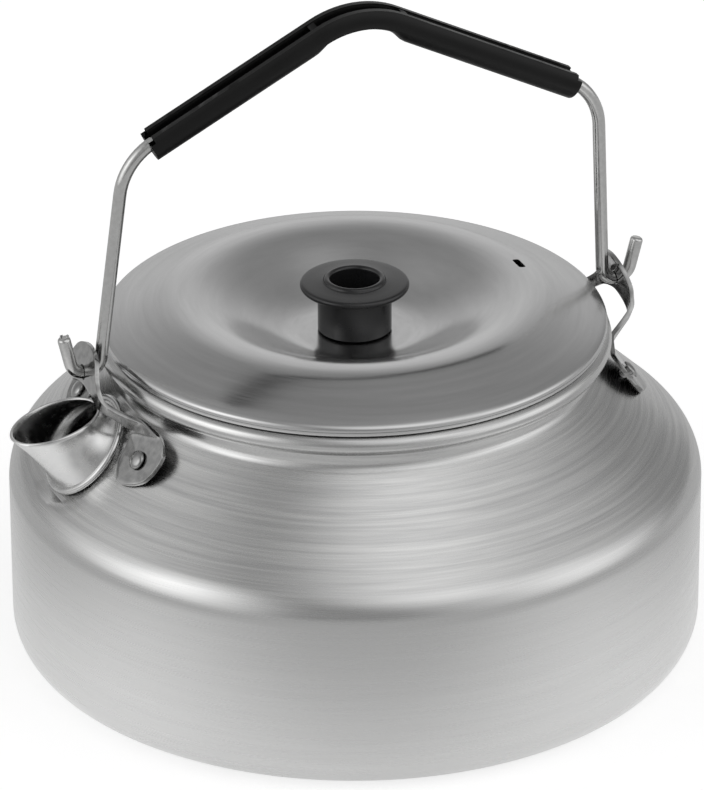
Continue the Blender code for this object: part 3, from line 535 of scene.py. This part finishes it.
def spout_hoops():
    """(centre, tilt, half length, half width) down the outside, through the seat and up inside."""
    seat = seat_frame()

    def on_seat(radius, height):
        centre = seat @ Vector((0.0, 0.0, height * MM)) / MM
        return (centre.x, centre.z), SEAT_TILT, radius, radius

    def wall(inset, share):
        foot, tilt, radius = on_seat(SPOUT_FOOT - inset, SPOUT_FOOT_RISE - SPOUT_FOOT_FALL * inset)[:3]
        centre = Vector(foot).lerp(Vector(MOUTH), share)
        turn = tilt + (MOUTH_TILT - tilt) * share
        waist = SPOUT_WAIST * math.sin(math.pi * share)
        length = radius + (MOUTH_HALF_LENGTH - inset - radius) * share
        width = radius + (MOUTH_HALF_WIDTH - inset - radius) * share
        drawn_in = 1.0 - SPOUT_DRAW * share * (1.0 - share)
        return tuple(centre), turn, length * drawn_in - SPOUT_WAIST_SHARE * waist, width - waist

    def lip(inset, lift):
        out = Vector((-math.cos(MOUTH_TILT), math.sin(MOUTH_TILT)))
        return (tuple(Vector(MOUTH) + out * lift), MOUTH_TILT, MOUTH_HALF_LENGTH - inset,
                MOUTH_HALF_WIDTH - inset)

    rows = [lip(0.0, 0.0)]
    rows += [wall(0.0, 1.0 - i / SPOUT_ROWS) for i in range(1, SPOUT_ROWS)]
    rows += [on_seat(radius, height) for radius, height in SPOUT_FOOT_ROWS]
    rows += [wall(SPOUT_SHEET, i / SPOUT_ROWS) for i in range(1, SPOUT_ROWS)]
    rows += [lip(inset, lift) for inset, lift in SPOUT_LIP]
    return rows


def spout(finish):
    obj = drawn("spout_shell", [(0.0, 0.0, 0.0)])
    bpy.ops.mesh.delete(type='VERT')
    rows = spout_hoops()
    for centre, tilt, half_length, half_width in rows:
        hoop(centre, tilt, half_length, half_width)
    for i in range(len(rows)):
        bridge(obj, i, (i + 1) % len(rows), SPOUT_STEPS)
    close_up()
    soften(obj, 50.0)
    finish_piece(obj, "kettle", ["spout"], finish)


def spline(points, steps):
    """Smooth curve through points of a half outline whose first point lies on the mirror line."""
    mirror = (-points[1][0], points[1][1])
    last = (2 * points[-1][0] - points[-2][0], 2 * points[-1][1] - points[-2][1])
    row = [Vector(p) for p in [mirror, *points, last]]
    curve = []
    for a, b, c, d in zip(row, row[1:], row[2:], row[3:]):
        for i in range(steps):
            t = i / steps
            curve.append(0.5 * (2 * b + (c - a) * t + (2 * a - 5 * b + 4 * c - d) * t * t
                                + (3 * b - 3 * c + d - a) * t ** 3))
    curve.append(row[-2])
    return curve


def farther(one, other, rounding):
    """The larger of two distances, rounded where they meet."""
    apart = one - other
    return other + 0.5 * (apart + math.sqrt(apart ** 2 + rounding ** 2))


def ear_depth(across, height):
    """Distance along X of the ear's middle surface: upright tab, tucked flanks and flat feet."""
    foot = foot_frame(1, 1)
    spot, out = foot.translation / MM, foot.col[2]
    seat = GAP + EAR_SHEET / 2
    across = abs(across)
    shell = max(shell_radius(height, seat), EAR_NECK + seat)
    on_shell = math.sqrt(max(shell ** 2 - across ** 2, 0.0))
    on_foot = spot.x + (seat + EAR_FOOT_LIFT - out.y * (across - spot.y)
                        - out.z * (height - spot.z)) / out.x
    lean = EAR_TOP_LEAN * blend(height, PIVOT_HEIGHT, PIVOT_HEIGHT + EAR_LEAN_RISE)
    start = EAR_FLANK_START + EAR_TUCK * (height - PIVOT_HEIGHT - EAR_TUCK_HEIGHT)
    fall = EAR_FLANK_SLOPE * farther(across - start, 0.0, EAR_BEND)
    return farther(EAR_STAND - lean - fall, max(on_shell, on_foot), EAR_BEND)


def ear(name, side, node, finish):
    """A flat grid, cut to the blank's outline and pressed, then given its sheet and softened edges."""
    upper = spline(EAR_UPPER_EDGE, EAR_SPAN_STEPS)
    lower = spline(EAR_LOWER_EDGE, EAR_SPAN_STEPS)
    half = len(upper) - 1
    bpy.ops.object.select_all(action='DESELECT')
    bpy.ops.mesh.primitive_grid_add(x_subdivisions=2 * half, y_subdivisions=EAR_ROWS, size=2.0)
    obj = bpy.context.active_object
    obj.name = name
    obj.data.name = name
    for vert in obj.data.vertices:
        station = round(vert.co.x * half)
        share = (vert.co.y + 1.0) / 2
        flat = lower[abs(station)].lerp(upper[abs(station)], share)
        across = math.copysign(flat.x, station) if station else 0.0
        height = PIVOT_HEIGHT + flat.y
        vert.co = Vector((side * ear_depth(across, height), -side * across, height)) * MM
    apply_modifier(obj, 'SOLIDIFY', thickness=EAR_SHEET * MM, offset=0.0, use_even_offset=True)
    activate(obj)
    bpy.ops.object.mode_set(mode='EDIT')
    close_up()
    apply_modifier(obj, 'BEVEL', width=EAR_EDGE_ROUND * MM, segments=2, limit_method='ANGLE',
                   angle_limit=math.radians(50))
    pivot = Matrix.Translation(Vector((side * EAR_STAND, 0.0, PIVOT_HEIGHT)) * MM) @ Matrix.Rotation(
        math.pi / 2, 4, 'Y')
    drill(obj, pivot, WIRE_RADIUS + GAP, PIVOT_DRILL)
    for spot in rivet_frames():
        if spot.translation.x * side > 0.0:
            drill(obj, spot, RIVET_SHANK + GAP, SHEET_DRILL, 24)
    soften(obj, 40.0)
    finish_piece(obj, "kettle", [node], finish)


def ear_rivets(finish):
    """Domed heads with a rounded edge, shanks through both sheets and set tails inside."""
    seat = 2 * GAP + EAR_SHEET + EAR_FOOT_LIFT
    bottom = -SHEET - RIVET_SLACK
    skirt = seat + RIVET_SKIRT
    dome = [(RIVET_HEAD * math.sin(t), skirt + (RIVET_DOME - RIVET_SKIRT) * math.cos(t))
            for t in (math.radians(a) for a in range(0, 91, 9))]
    outline = dome + [(RIVET_HEAD, seat + RIVET_EDGE), (RIVET_HEAD - RIVET_EDGE, seat),
                      (RIVET_SHANK, seat), (RIVET_SHANK, bottom)]
    outline += [(RIVET_HEAD * share, bottom - drop) for share, drop in RIVET_TAIL]
    outline[0] = (0.0, seat + RIVET_DOME)
    for i, spot in enumerate(rivet_frames()):
        name = "ear_rivet_%d" % (i + 1)
        obj = spun(name + "_set", outline, RIVET_STEPS)
        settle(obj, spot)
        soften(obj)
        finish_piece(obj, "kettle", [name], finish)


def lid_heights():
    edge_bottom = rim_top() + LID_SEAT
    edge_top = edge_bottom + LID_EDGE
    run = LID_RADIUS - RIDGE_RADIUS - RIDGE_ROUND * math.sin(LID_SLOPE)
    ridge = edge_top + run * math.tan(LID_SLOPE) + RIDGE_ROUND * (1 - math.cos(LID_SLOPE))
    return edge_bottom, edge_top, ridge, ridge - DISH_DEPTH


def lid_outline():
    edge_bottom, edge_top, ridge, floor = lid_heights()
    top = [(RIVET_HOLE, floor), (FLOOR_RING, floor), (FLOOR_RADIUS, floor)]
    for i in range(1, DISH_RINGS + 1):
        share = i / DISH_RINGS
        radius = FLOOR_RADIUS + (RIDGE_RADIUS - FLOOR_RADIUS) * share
        top.append((radius, floor + DISH_DEPTH * (1 - math.cos(math.pi * share)) / 2))
    slope = math.degrees(LID_SLOPE)
    top += arc((RIDGE_RADIUS, ridge - RIDGE_ROUND), RIDGE_ROUND, 90, 90 - slope, 7)[1:]
    slope_end = (LID_RADIUS - EDGE_SETBACK, edge_top + EDGE_SETBACK * math.tan(LID_SLOPE))
    top += along(top[-1], slope_end, 5) + [slope_end]
    under = parallel(top, -LID_SHEET)
    under[0] = (top[0][0], floor - LID_SHEET)
    plug = NECK_RADIUS - SHEET - PLUG_FIT
    under = under[:-1] + [(plug - LID_SHEET, edge_bottom + HEM_RISE)]
    low = edge_bottom - PLUG_DEPTH
    edge = [(LID_RADIUS + out, edge_top + up) for out, up in LID_EDGE_TOP]
    edge += [(LID_RADIUS + out, edge_bottom + up) for out, up in LID_EDGE_LIP]
    edge += [(plug, edge_bottom), (plug, low + PLUG_ROUND), (plug - PLUG_ROUND, low),
             (plug - LID_SHEET, low)]
    return top + edge + list(reversed(under)) + [top[0]]


def lid(finish):
    obj = spun("lid_shell", lid_outline(), LID_STEPS)
    ridge = lid_heights()[2]
    slot = Matrix.Translation(Vector((VENT_RADIUS, 0.0, ridge)) * MM)
    tool = bar(slot, VENT_SLOT)
    activate(tool)
    bpy.ops.object.transform_apply()
    apply_modifier(tool, 'BEVEL', width=VENT_ROUND * MM, segments=4, limit_method='NONE')
    cut(obj, tool)
    soften(obj, 30.0)
    finish_piece(obj, "lid", ["lid"], finish)


def knob(finish):
    base = lid_heights()[3] + GAP
    top = base + KNOB_HEIGHT
    lip = KNOB_BORE + KNOB_LIP
    outline = [(RIVET_HOLE, base + KNOB_WEB), (KNOB_BORE - KNOB_CORNER, base + KNOB_WEB),
               (KNOB_BORE, base + KNOB_WEB + KNOB_CORNER), (KNOB_BORE, top - KNOB_LIP)]
    outline += arc((lip, top - KNOB_LIP), KNOB_LIP, 180, 20, 10)[1:]
    outline += arc((lip + KNOB_GROOVE[0], top - KNOB_GROOVE[1]), KNOB_GROOVE[2], 190, 268, 4)
    outline += [(KNOB_FLANGE - back, top - depth) for back, depth in KNOB_FLANGE_TOP]
    outline += arc((KNOB_FLANGE - KNOB_RIM[0], top - KNOB_RIM[1]), KNOB_RIM[0], 80, -60, 9)
    outline += [(KNOB_FLANGE - KNOB_UNDERSIDE[0], top - KNOB_UNDERSIDE[1]),
                (KNOB_RADIUS + KNOB_THROAT[0], top - KNOB_THROAT[1])]
    outline += arc((KNOB_RADIUS + KNOB_THROAT_ROUND[0], top - KNOB_THROAT_ROUND[1]),
                   KNOB_THROAT_ROUND[0], 100, 180, 6)
    outline += [(KNOB_RADIUS, base + KNOB_FOOT), (KNOB_RADIUS - KNOB_FOOT, base), (RIVET_HOLE, base),
                (RIVET_HOLE, base + KNOB_WEB)]
    obj = spun("knob_spool", outline, KNOB_STEPS)
    soften(obj)
    finish_piece(obj, "lid", ["lid_knob"], finish)


def knob_fixings(finish):
    floor = lid_heights()[3]
    seat = floor + 2 * GAP + KNOB_WEB
    under = floor - LID_SHEET - 2 * GAP - WASHER_SHEET
    skirt = seat + KNOB_RIVET_SKIRT
    dome = [(KNOB_RIVET_HEAD * math.sin(t), skirt + KNOB_RIVET_DOME * math.cos(t))
            for t in (math.radians(a) for a in range(0, 91, 10))]
    dome[0] = (0.0, skirt + KNOB_RIVET_DOME)
    outline = dome + [(KNOB_RIVET_HEAD, seat), (KNOB_RIVET_SHANK, seat), (KNOB_RIVET_SHANK, under)]
    outline += [(radius, under - drop) for radius, drop in KNOB_RIVET_TAIL]
    rivet = spun("knob_rivet_set", outline, KNOB_RIVET_STEPS)
    top = floor - LID_SHEET - GAP
    low = top - WASHER_SHEET
    edge = WASHER_RADIUS - WASHER_ROUND
    washer = spun("knob_washer_set", [(RIVET_HOLE, top), (edge, top), (WASHER_RADIUS, top - WASHER_ROUND),
                                      (WASHER_RADIUS, low + WASHER_ROUND), (edge, low),
                                      (RIVET_HOLE, low), (RIVET_HOLE, top)], WASHER_STEPS)
    for obj, node in ((rivet, "knob_rivet"), (washer, "knob_washer")):
        soften(obj)
        finish_piece(obj, "lid", [node], finish)


# Bail: its pieces are swept along one path in the XZ plane, then leant by its swing

def swing(obj):
    settle(obj, Matrix.Translation((0.0, 0.0, PIVOT_HEIGHT * MM)) @ Matrix.Rotation(
        BAIL_SWING, 4, 'X'))


def arm_height(x):
    return BAIL_PEAK - x * math.tan(ARM_SLOPE)


def bail_corners():
    def half(corner_x):
        return [(corner_x, arm_height(corner_x), CORNER_BEND), (LEG_FOOT_X, 0.0, FOOT_BEND),
                (HOOK_CORNER_X, 0.0, FOOT_BEND), (*HOOK_TIP, 0.0)]
    front = [(-x, height, bend) for x, height, bend in reversed(half(FRONT_CORNER_X))]
    return front + [(0.0, BAIL_PEAK, PEAK_BEND)] + half(REAR_CORNER_X)


def swept(name, section, corners, run_step, degrees_step):
    """Pulls a closed section of (across, up) along straight runs and spins it round the bends."""
    start = Vector((corners[0][0], 0.0, corners[0][1]))
    spot = start.copy()
    heading = (Vector((corners[1][0], 0.0, corners[1][1])) - start).normalized()
    up = Vector((-heading.z, 0.0, heading.x))
    ring = [start + Vector((0.0, across, 0.0)) + up * rise for across, rise in section]
    obj = drawn(name, ring + ring[:1])
    bpy.ops.mesh.select_all(action='SELECT')
    bpy.ops.mesh.remove_doubles(threshold=MERGE_DISTANCE * MM)
    for i, corner in enumerate(corners[1:], 1):
        here = Vector((corner[0], 0.0, corner[1]))
        trim, turn = 0.0, 0.0
        if i < len(corners) - 1:
            ahead = (Vector((corners[i + 1][0], 0.0, corners[i + 1][1])) - here).normalized()
            turn = heading.angle(ahead)
            trim = corner[2] * math.tan(turn / 2)
        run = (here - spot).length - trim
        pulls = max(1, round(run / run_step))
        for _ in range(pulls):
            bpy.ops.mesh.extrude_region_move(
                TRANSFORM_OT_translate={"value": heading * (run / pulls) * MM})
        if turn:
            side = math.copysign(1.0, heading.cross(ahead).y)
            inward = Vector((0.0, side, 0.0)).cross(heading)
            middle = spot + heading * run + inward * corner[2]
            bpy.ops.mesh.spin(steps=max(2, round(math.degrees(turn) / degrees_step)), angle=turn,
                              center=middle * MM, axis=(0.0, -side, 0.0))
            spot = here + ahead * trim
            heading = ahead
    bpy.ops.mesh.edge_face_add()
    mesh = bmesh.from_edit_mesh(obj.data)
    mesh.verts.ensure_lookup_table()
    bpy.ops.mesh.select_all(action='DESELECT')
    for vert in mesh.verts[:len(section)]:
        vert.select = True
    mesh.select_flush(True)
    bpy.ops.mesh.edge_face_add()
    close_up()
    return obj


def wire(finish):
    section = [(WIRE_RADIUS * math.cos(t), WIRE_RADIUS * math.sin(t))
               for t in (2 * math.pi * i / WIRE_SIDES for i in range(WIRE_SIDES))]
    obj = swept("bail_rod", section, bail_corners(), WIRE_RUN, WIRE_TURN)
    activate(obj)
    bpy.ops.object.mode_set(mode='EDIT')
    mesh = bmesh.from_edit_mesh(obj.data)
    bpy.ops.mesh.select_all(action='DESELECT')
    for face in mesh.faces:
        face.select = len(face.verts) > 4
    mesh.select_flush(False)
    bpy.ops.mesh.bevel(offset=WIRE_END_ROUND * MM, segments=5, affect='EDGES')
    bpy.ops.object.mode_set(mode='OBJECT')
    swing(obj)
    soften(obj)
    finish_piece(obj, "bail", ["bail_wire"], finish)


def grip_section():
    """Round outside with a flat top and a keyhole slot that presses over the wire."""
    bore = WIRE_RADIUS + GAP
    corner = math.degrees(math.asin(GRIP_FLAT / GRIP_RADIUS))
    right = [(GRIP_MOUTH, GRIP_FLAT)] + arc((0.0, 0.0), GRIP_RADIUS, corner, -90, 18)
    channel = arc((0.0, 0.0), bore, -90, 20, 8) + [(bore, GRIP_THROAT[0]), (GRIP_MOUTH, GRIP_THROAT[1])]
    left = [(-across, up) for across, up in reversed(right[:-1])]
    inner = [(-across, up) for across, up in reversed(channel)] + channel[1:]
    return right + left + inner


def grip_relief(obj):
    """Thins the underside below the peak, where the hand's fingers meet."""
    for vert in obj.data.vertices:
        x = vert.co.x / MM
        share = GRIP_RELIEF / GRIP_RADIUS * (1.0 - blend(abs(x), *RELIEF_FADE))
        slope = math.copysign(ARM_SLOPE, x) * min(abs(x) / (PEAK_BEND * math.sin(ARM_SLOPE)), 1.0)
        out = Vector((math.sin(slope), 0.0, math.cos(slope)))
        height = arm_height(abs(x))
        inside_bend = PEAK_BEND * (1.0 / math.cos(ARM_SLOPE) - 1.0)
        if abs(x) < PEAK_BEND * math.sin(ARM_SLOPE):
            height = BAIL_PEAK - inside_bend - PEAK_BEND + math.sqrt(PEAK_BEND ** 2 - x * x)
        depth = (vert.co.z / MM - height) * out.z
        if depth < -WIRE_RADIUS - GAP - CLIP_CLEARANCE:
            vert.co += out * share * -depth * MM


def grip(finish):
    ends = [(-GRIP_FRONT_REACH, arm_height(GRIP_FRONT_REACH), 0.0), (0.0, BAIL_PEAK, PEAK_BEND),
            (GRIP_REAR_REACH, arm_height(GRIP_REAR_REACH), 0.0)]
    obj = swept("grip_sleeve", grip_section(), ends, GRIP_RUN, GRIP_TURN)
    grip_relief(obj)
    for side, reach in ((-1, GRIP_FRONT_REACH), (1, GRIP_REAR_REACH)):
        lean = Matrix.Rotation(side * ARM_SLOPE, 4, 'Y')
        tip = Matrix.Translation(Vector((side * reach, 0.0, arm_height(reach))) * MM) @ lean
        width, height = GRIP_LIP_CUT
        trim = Matrix.Translation(Vector((0.0, 0.0, GRIP_FLAT - GRIP_LIP_DROP + height / 2)) * MM)
        cut(obj, bar(tip @ trim, (2 * GRIP_LIP_SETBACK, width, height)))
        saddle = Matrix.Translation(Vector((side * CLIP_FROM_PEAK, 0.0,
                                            arm_height(CLIP_FROM_PEAK))) * MM) @ lean
        rise = WIRE_RADIUS + GAP + CLIP_CLEARANCE
        clip = GRIP_FLAT - WIRE_RADIUS - 2 * GAP
        lift = Matrix.Translation(Vector((0.0, 0.0, rise + clip / 2)) * MM)
        cut(obj, bar(saddle @ lift, (CLIP_LENGTH, 2 * (GRIP_MOUTH + CLIP_BITE), clip)), 'UNION')
    apply_modifier(obj, 'BEVEL', width=GRIP_ROUND * MM, segments=2, limit_method='ANGLE',
                   angle_limit=math.radians(38))
    swing(obj)
    soften(obj, 40.0)
    finish_piece(obj, "bail", ["bail_grip"], finish)


# Finishes

def colour(hex_code):
    """Linear colour of an sRGB hex code."""
    channels = []
    for i in (0, 2, 4):
        value = int(hex_code[i:i + 2], 16) / 255
        channels.append(value / 12.92 if value <= 0.04045 else ((value + 0.055) / 1.055) ** 2.4)
    return (*channels, 1.0)


def node(owner, kind, inputs=None, **settings):
    """Adds a node to a material or world; inputs holds values or other nodes' outputs by socket."""
    made = owner.node_tree.nodes.new(kind)
    for key, value in settings.items():
        setattr(made, key, value)
    for socket, value in (inputs or {}).items():
        if isinstance(value, bpy.types.NodeSocket):
            owner.node_tree.links.new(value, made.inputs[socket])
        else:
            made.inputs[socket].default_value = value
    return made


def finish_of(name):
    mat = bpy.data.materials.new(name)
    mat.use_nodes = True
    mat.node_tree.nodes.clear()
    return mat


def output(mat, shader):
    node(mat, "ShaderNodeOutputMaterial", {"Surface": shader.outputs[0]})


def turning_marks(mat, spacing, length, detail=2.0):
    """Noise drawn out round Z, as a spinning tool leaves it; spacing and length in millimetres."""
    place = node(mat, "ShaderNodeTexCoord").outputs["Object"]
    flat = node(mat, "ShaderNodeVectorMath", {0: place, 1: (1, 1, 0)}, operation='MULTIPLY')
    radius = node(mat, "ShaderNodeVectorMath", {0: flat.outputs[0]}, operation='LENGTH')
    way = node(mat, "ShaderNodeVectorMath", {0: flat.outputs[0]}, operation='NORMALIZE')
    round_ways = node(mat, "ShaderNodeVectorMath",
                      {0: way.outputs[0], "Scale": BODY_RADIUS / length}, operation='SCALE')
    height = node(mat, "ShaderNodeSeparateXYZ", {0: place})
    meridian = node(mat, "ShaderNodeMath", {0: height.outputs["Z"], 1: radius.outputs["Value"]},
                    operation='SUBTRACT')
    rows = node(mat, "ShaderNodeMath", {0: meridian.outputs[0], 1: 1.0 / (spacing * MM)},
                operation='MULTIPLY')
    upright = node(mat, "ShaderNodeCombineXYZ", {"Z": rows.outputs[0]})
    marks = node(mat, "ShaderNodeVectorMath", {0: round_ways.outputs[0], 1: upright.outputs[0]},
                 operation='ADD')
    return node(mat, "ShaderNodeTexNoise",
                {"Vector": marks.outputs[0], "Scale": 1.0, "Detail": detail, "Roughness": 0.6})


def spread(mat, value, low, high, from_low=0.3, from_high=0.7):
    """Maps a pattern's middle range onto the values from low to high."""
    return node(mat, "ShaderNodeMapRange", {"Value": value, "From Min": from_low, "From Max": from_high,
                                            "To Min": low, "To Max": high}).outputs[0]


def roughness_of(mat, pattern, middle, spread_round):
    return spread(mat, pattern.outputs["Fac"], middle + spread_round[0], middle + spread_round[1])


def spun_aluminium(name, dark, light, roughness, marks, streaks, plain_below, relief):
    """Bare aluminium, spun and satin finished: fine tool marks, and streaky rings above a height."""
    mat = finish_of(name)
    fine = turning_marks(mat, marks, MARK_LENGTH, 4.0)
    broad = turning_marks(mat, streaks, STREAK_LENGTH, 4.0)
    place = node(mat, "ShaderNodeTexCoord").outputs["Object"]
    height = node(mat, "ShaderNodeSeparateXYZ", {0: place}).outputs["Z"]
    share = node(mat, "ShaderNodeMapRange",
                 {"Value": height, "From Min": plain_below * MM,
                  "From Max": (plain_below + STREAK_FADE) * MM, "To Min": STREAKS_BELOW, "To Max": 1.0},
                 interpolation_type='SMOOTHSTEP').outputs[0]
    level = spread(mat, broad.outputs["Fac"], -0.5, 0.5)
    streaky = node(mat, "ShaderNodeMath", {0: level, 1: share, 2: 0.5}, operation='MULTIPLY_ADD')
    tone = node(mat, "ShaderNodeMix", {"Factor": streaky.outputs[0], "A": colour(dark),
                                       "B": colour(light)}, data_type='RGBA')
    rough = roughness_of(mat, fine, roughness, SPUN_ROUGHNESS)
    depth = node(mat, "ShaderNodeMath", {0: share, 1: relief}, operation='MULTIPLY')
    bump = node(mat, "ShaderNodeBump", {"Height": fine.outputs["Fac"], "Strength": depth.outputs[0],
                                        "Distance": TOOL_MARK_DEPTH * MM})
    output(mat, node(mat, "ShaderNodeBsdfPrincipled",
                     {"Base Color": tone.outputs["Result"], "Metallic": 1.0, "Roughness": rough,
                      "Normal": bump.outputs[0]}))
    return mat


def pressed_metal(name, dark, light, roughness, grain, relief):
    """Sheet metal pressed and tumbled bright: sharp reflections broken by slight dents and smears."""
    mat = finish_of(name)
    place = node(mat, "ShaderNodeTexCoord").outputs["Object"]
    cloud = node(mat, "ShaderNodeTexNoise", {"Vector": place, "Scale": 1.0 / (grain * MM), "Detail": 3.0})
    dents = node(mat, "ShaderNodeTexNoise", {"Vector": place, "Scale": DENTS_PER_GRAIN / (grain * MM)})
    tone = node(mat, "ShaderNodeMix", {"Factor": spread(mat, cloud.outputs["Fac"], 0.0, 1.0),
                                       "A": colour(dark), "B": colour(light)}, data_type='RGBA')
    rough = roughness_of(mat, cloud, roughness, PRESSED_ROUGHNESS)
    bump = node(mat, "ShaderNodeBump", {"Height": dents.outputs["Fac"], "Strength": relief,
                                        "Distance": DENT_DEPTH * MM})
    output(mat, node(mat, "ShaderNodeBsdfPrincipled",
                     {"Base Color": tone.outputs["Result"], "Metallic": 1.0, "Roughness": rough,
                      "Normal": bump.outputs[0]}))
    return mat


def moulded_plastic(name, dark, light, roughness, grain, relief, sheen):
    """Black moulding: a fine even skin with faint flow clouds."""
    mat = finish_of(name)
    place = node(mat, "ShaderNodeTexCoord").outputs["Object"]
    skin = node(mat, "ShaderNodeTexNoise", {"Vector": place, "Scale": 1.0 / (grain * MM), "Detail": 3.0})
    flow = node(mat, "ShaderNodeTexNoise", {"Vector": place, "Scale": FLOWS_PER_MM / MM, "Detail": 2.0})
    tone = node(mat, "ShaderNodeMix", {"Factor": spread(mat, flow.outputs["Fac"], 0.0, 1.0),
                                       "A": colour(dark), "B": colour(light)}, data_type='RGBA')
    rough = roughness_of(mat, flow, roughness, MOULDED_ROUGHNESS)
    bump = node(mat, "ShaderNodeBump", {"Height": skin.outputs["Fac"], "Strength": relief,
                                        "Distance": SKIN_DEPTH * MM})
    output(mat, node(mat, "ShaderNodeBsdfPrincipled",
                     {"Base Color": tone.outputs["Result"], "Roughness": rough, "IOR": PLASTIC_IOR,
                      "Specular IOR Level": sheen, "Normal": bump.outputs[0]}))
    return mat


# Studio: directions are the picture's, turned into the frame

def picture(right, away, up):
    """A direction or place given as the picture's right, away from the camera and up."""
    return Matrix.Rotation(VIEW_TURN, 3, 'Z') @ Vector((right, away, up))


def glow_of(world, way, azimuth, elevation, reach, level):
    """Brightness of a soft patch of the surroundings, fading out by its reach in degrees."""
    turn, rise = math.radians(azimuth), math.radians(elevation)
    middle = picture(math.sin(turn) * math.cos(rise), -math.cos(turn) * math.cos(rise), math.sin(rise))
    facing = node(world, "ShaderNodeVectorMath", {0: way, 1: middle}, operation='DOT_PRODUCT')
    apart = node(world, "ShaderNodeMath", {0: facing.outputs["Value"]}, operation='ARCCOSINE')
    return node(world, "ShaderNodeMapRange",
                {"Value": apart.outputs[0], "From Min": math.radians(reach), "From Max": 0.0,
                 "To Min": 0.0, "To Max": level}, interpolation_type='SMOOTHSTEP').outputs[0]


def world_light():
    """White to the camera; to the object a dim room with soft patches of light round and over it."""
    world = bpy.data.worlds.new("studio")
    world.use_nodes = True
    world.node_tree.nodes.clear()
    bpy.context.scene.world = world
    way = node(world, "ShaderNodeTexCoord").outputs["Generated"]
    level = ROOM_LEVEL
    for patch in LIGHT_PATCHES:
        level = node(world, "ShaderNodeMath", {0: glow_of(world, way, *patch), 1: level},
                     operation='ADD').outputs[0]
    lit = node(world, "ShaderNodeBackground", {"Color": (1, 1, 1, 1), "Strength": level})
    white = node(world, "ShaderNodeBackground", {"Color": (1, 1, 1, 1), "Strength": 1.0})
    seen = node(world, "ShaderNodeLightPath").outputs["Is Camera Ray"]
    both = node(world, "ShaderNodeMixShader", {0: seen, 1: lit.outputs[0], 2: white.outputs[0]})
    node(world, "ShaderNodeOutputWorld", {"Surface": both.outputs[0]})


def floor():
    """White paper on a table: white to the camera, and in reflections a painted glow, with painted pools
    of light near the object.
    """
    bpy.ops.object.select_all(action='DESELECT')
    bpy.ops.mesh.primitive_plane_add(size=FLOOR_SIZE, location=(0.0, 0.0, -FLOOR_DROP * MM))
    obj = bpy.context.active_object
    obj.name = "floor"
    mat = finish_of("white_paper_with_painted_glow")
    paper = node(mat, "ShaderNodeBsdfDiffuse", {"Color": colour("CCCCCC")})
    place = node(mat, "ShaderNodeTexCoord").outputs["Object"]
    pooled = FLOOR_FAR
    # Painted pools of light on the floor, added to its glow in reflections only
    for right, away, inner, outer, level in PAINTED_FLOOR_LIGHT_POOLS:
        apart = node(mat, "ShaderNodeVectorMath", {0: place, 1: picture(right, away, 0.0)},
                     operation='DISTANCE')
        pool = node(mat, "ShaderNodeMapRange",
                    {"Value": apart.outputs["Value"], "From Min": outer, "From Max": inner,
                     "To Min": 0.0, "To Max": level}, interpolation_type='SMOOTHSTEP')
        pooled = node(mat, "ShaderNodeMath", {0: pool.outputs[0], 1: pooled},
                      operation='ADD').outputs[0]
    path = node(mat, "ShaderNodeLightPath")
    mirrored = node(mat, "ShaderNodeMath", {0: path.outputs["Is Glossy Ray"], 1: pooled},
                    operation='MULTIPLY')
    level = node(mat, "ShaderNodeMath", {0: path.outputs["Is Camera Ray"], 1: FLOOR_SEEN,
                                         2: mirrored.outputs[0]}, operation='MULTIPLY_ADD')
    glow = node(mat, "ShaderNodeEmission", {"Color": (1, 1, 1, 1), "Strength": level.outputs[0]})
    both = node(mat, "ShaderNodeAddShader", {0: paper.outputs[0], 1: glow.outputs[0]})
    output(mat, both)
    obj.data.materials.append(mat)


def camera():
    data = bpy.data.cameras.new("camera")
    data.lens = LENS_PIXELS / PICTURE_HEIGHT * SENSOR
    data.sensor_width = SENSOR
    data.clip_start, data.clip_end = CAMERA_RANGE
    obj = bpy.data.objects.new("camera", data)
    bpy.context.scene.collection.objects.link(obj)
    back = Vector((0.0, -math.cos(VIEW_RISE), math.sin(VIEW_RISE)))
    up = Vector((0.0, math.sin(VIEW_RISE), math.cos(VIEW_RISE)))
    right = Vector((1.0, 0.0, 0.0))
    tilted_right = right * math.cos(VIEW_ROLL) - up * math.sin(VIEW_ROLL)
    tilted_up = right * math.sin(VIEW_ROLL) + up * math.cos(VIEW_ROLL)
    spot = Vector((VIEW_TARGET[0], 0.0, VIEW_TARGET[1])) + back * VIEW_DISTANCE
    obj.matrix_world = Matrix.Rotation(VIEW_TURN, 4, 'Z') @ frame_of(tilted_right, tilted_up, back, spot)
    bpy.context.scene.camera = obj


def build():
    satin = spun_aluminium("satin_spun_aluminium", "BABABA", "D8D8D7", roughness=0.25, marks=0.35,
                           streaks=1.5, plain_below=42.0, relief=0.25)
    lid_satin = spun_aluminium("fine_spun_aluminium", "C0C0C0", "CACACA", roughness=0.20, marks=0.30,
                               streaks=2.5, plain_below=0.0, relief=0.07)
    bright = pressed_metal("bright_pressed_aluminium", "CCCCCC", "D6D6D5", roughness=0.22, grain=2.2,
                           relief=0.05)
    polished = pressed_metal("polished_stainless_steel", "929292", "ACACAB", roughness=0.08, grain=1.6,
                             relief=0.22)
    drawn_steel = pressed_metal("drawn_stainless_wire", "C0C0BF", "CCCCCB", roughness=0.16, grain=0.9,
                                relief=0.06)
    phenolic = moulded_plastic("black_phenolic_moulding", "1A1A1B", "232324", roughness=0.22,
                               grain=0.25, relief=0.12, sheen=0.45)
    nylon = moulded_plastic("black_nylon_moulding", "060606", "0E0E0E", roughness=0.36, grain=0.18,
                            relief=0.45, sheen=0.22)
    body(satin)
    spout(bright)
    ear("spout_side_saddle_ear", -1, "spout_side_ear", polished)
    ear("rear_saddle_ear", 1, "rear_ear", polished)
    ear_rivets(polished)
    lid(lid_satin)
    knob(phenolic)
    knob_fixings(polished)
    wire(drawn_steel)
    grip(nylon)
    floor()
    world_light()
    camera()
    bpy.context.scene.view_settings.view_transform = 'Standard'


build()
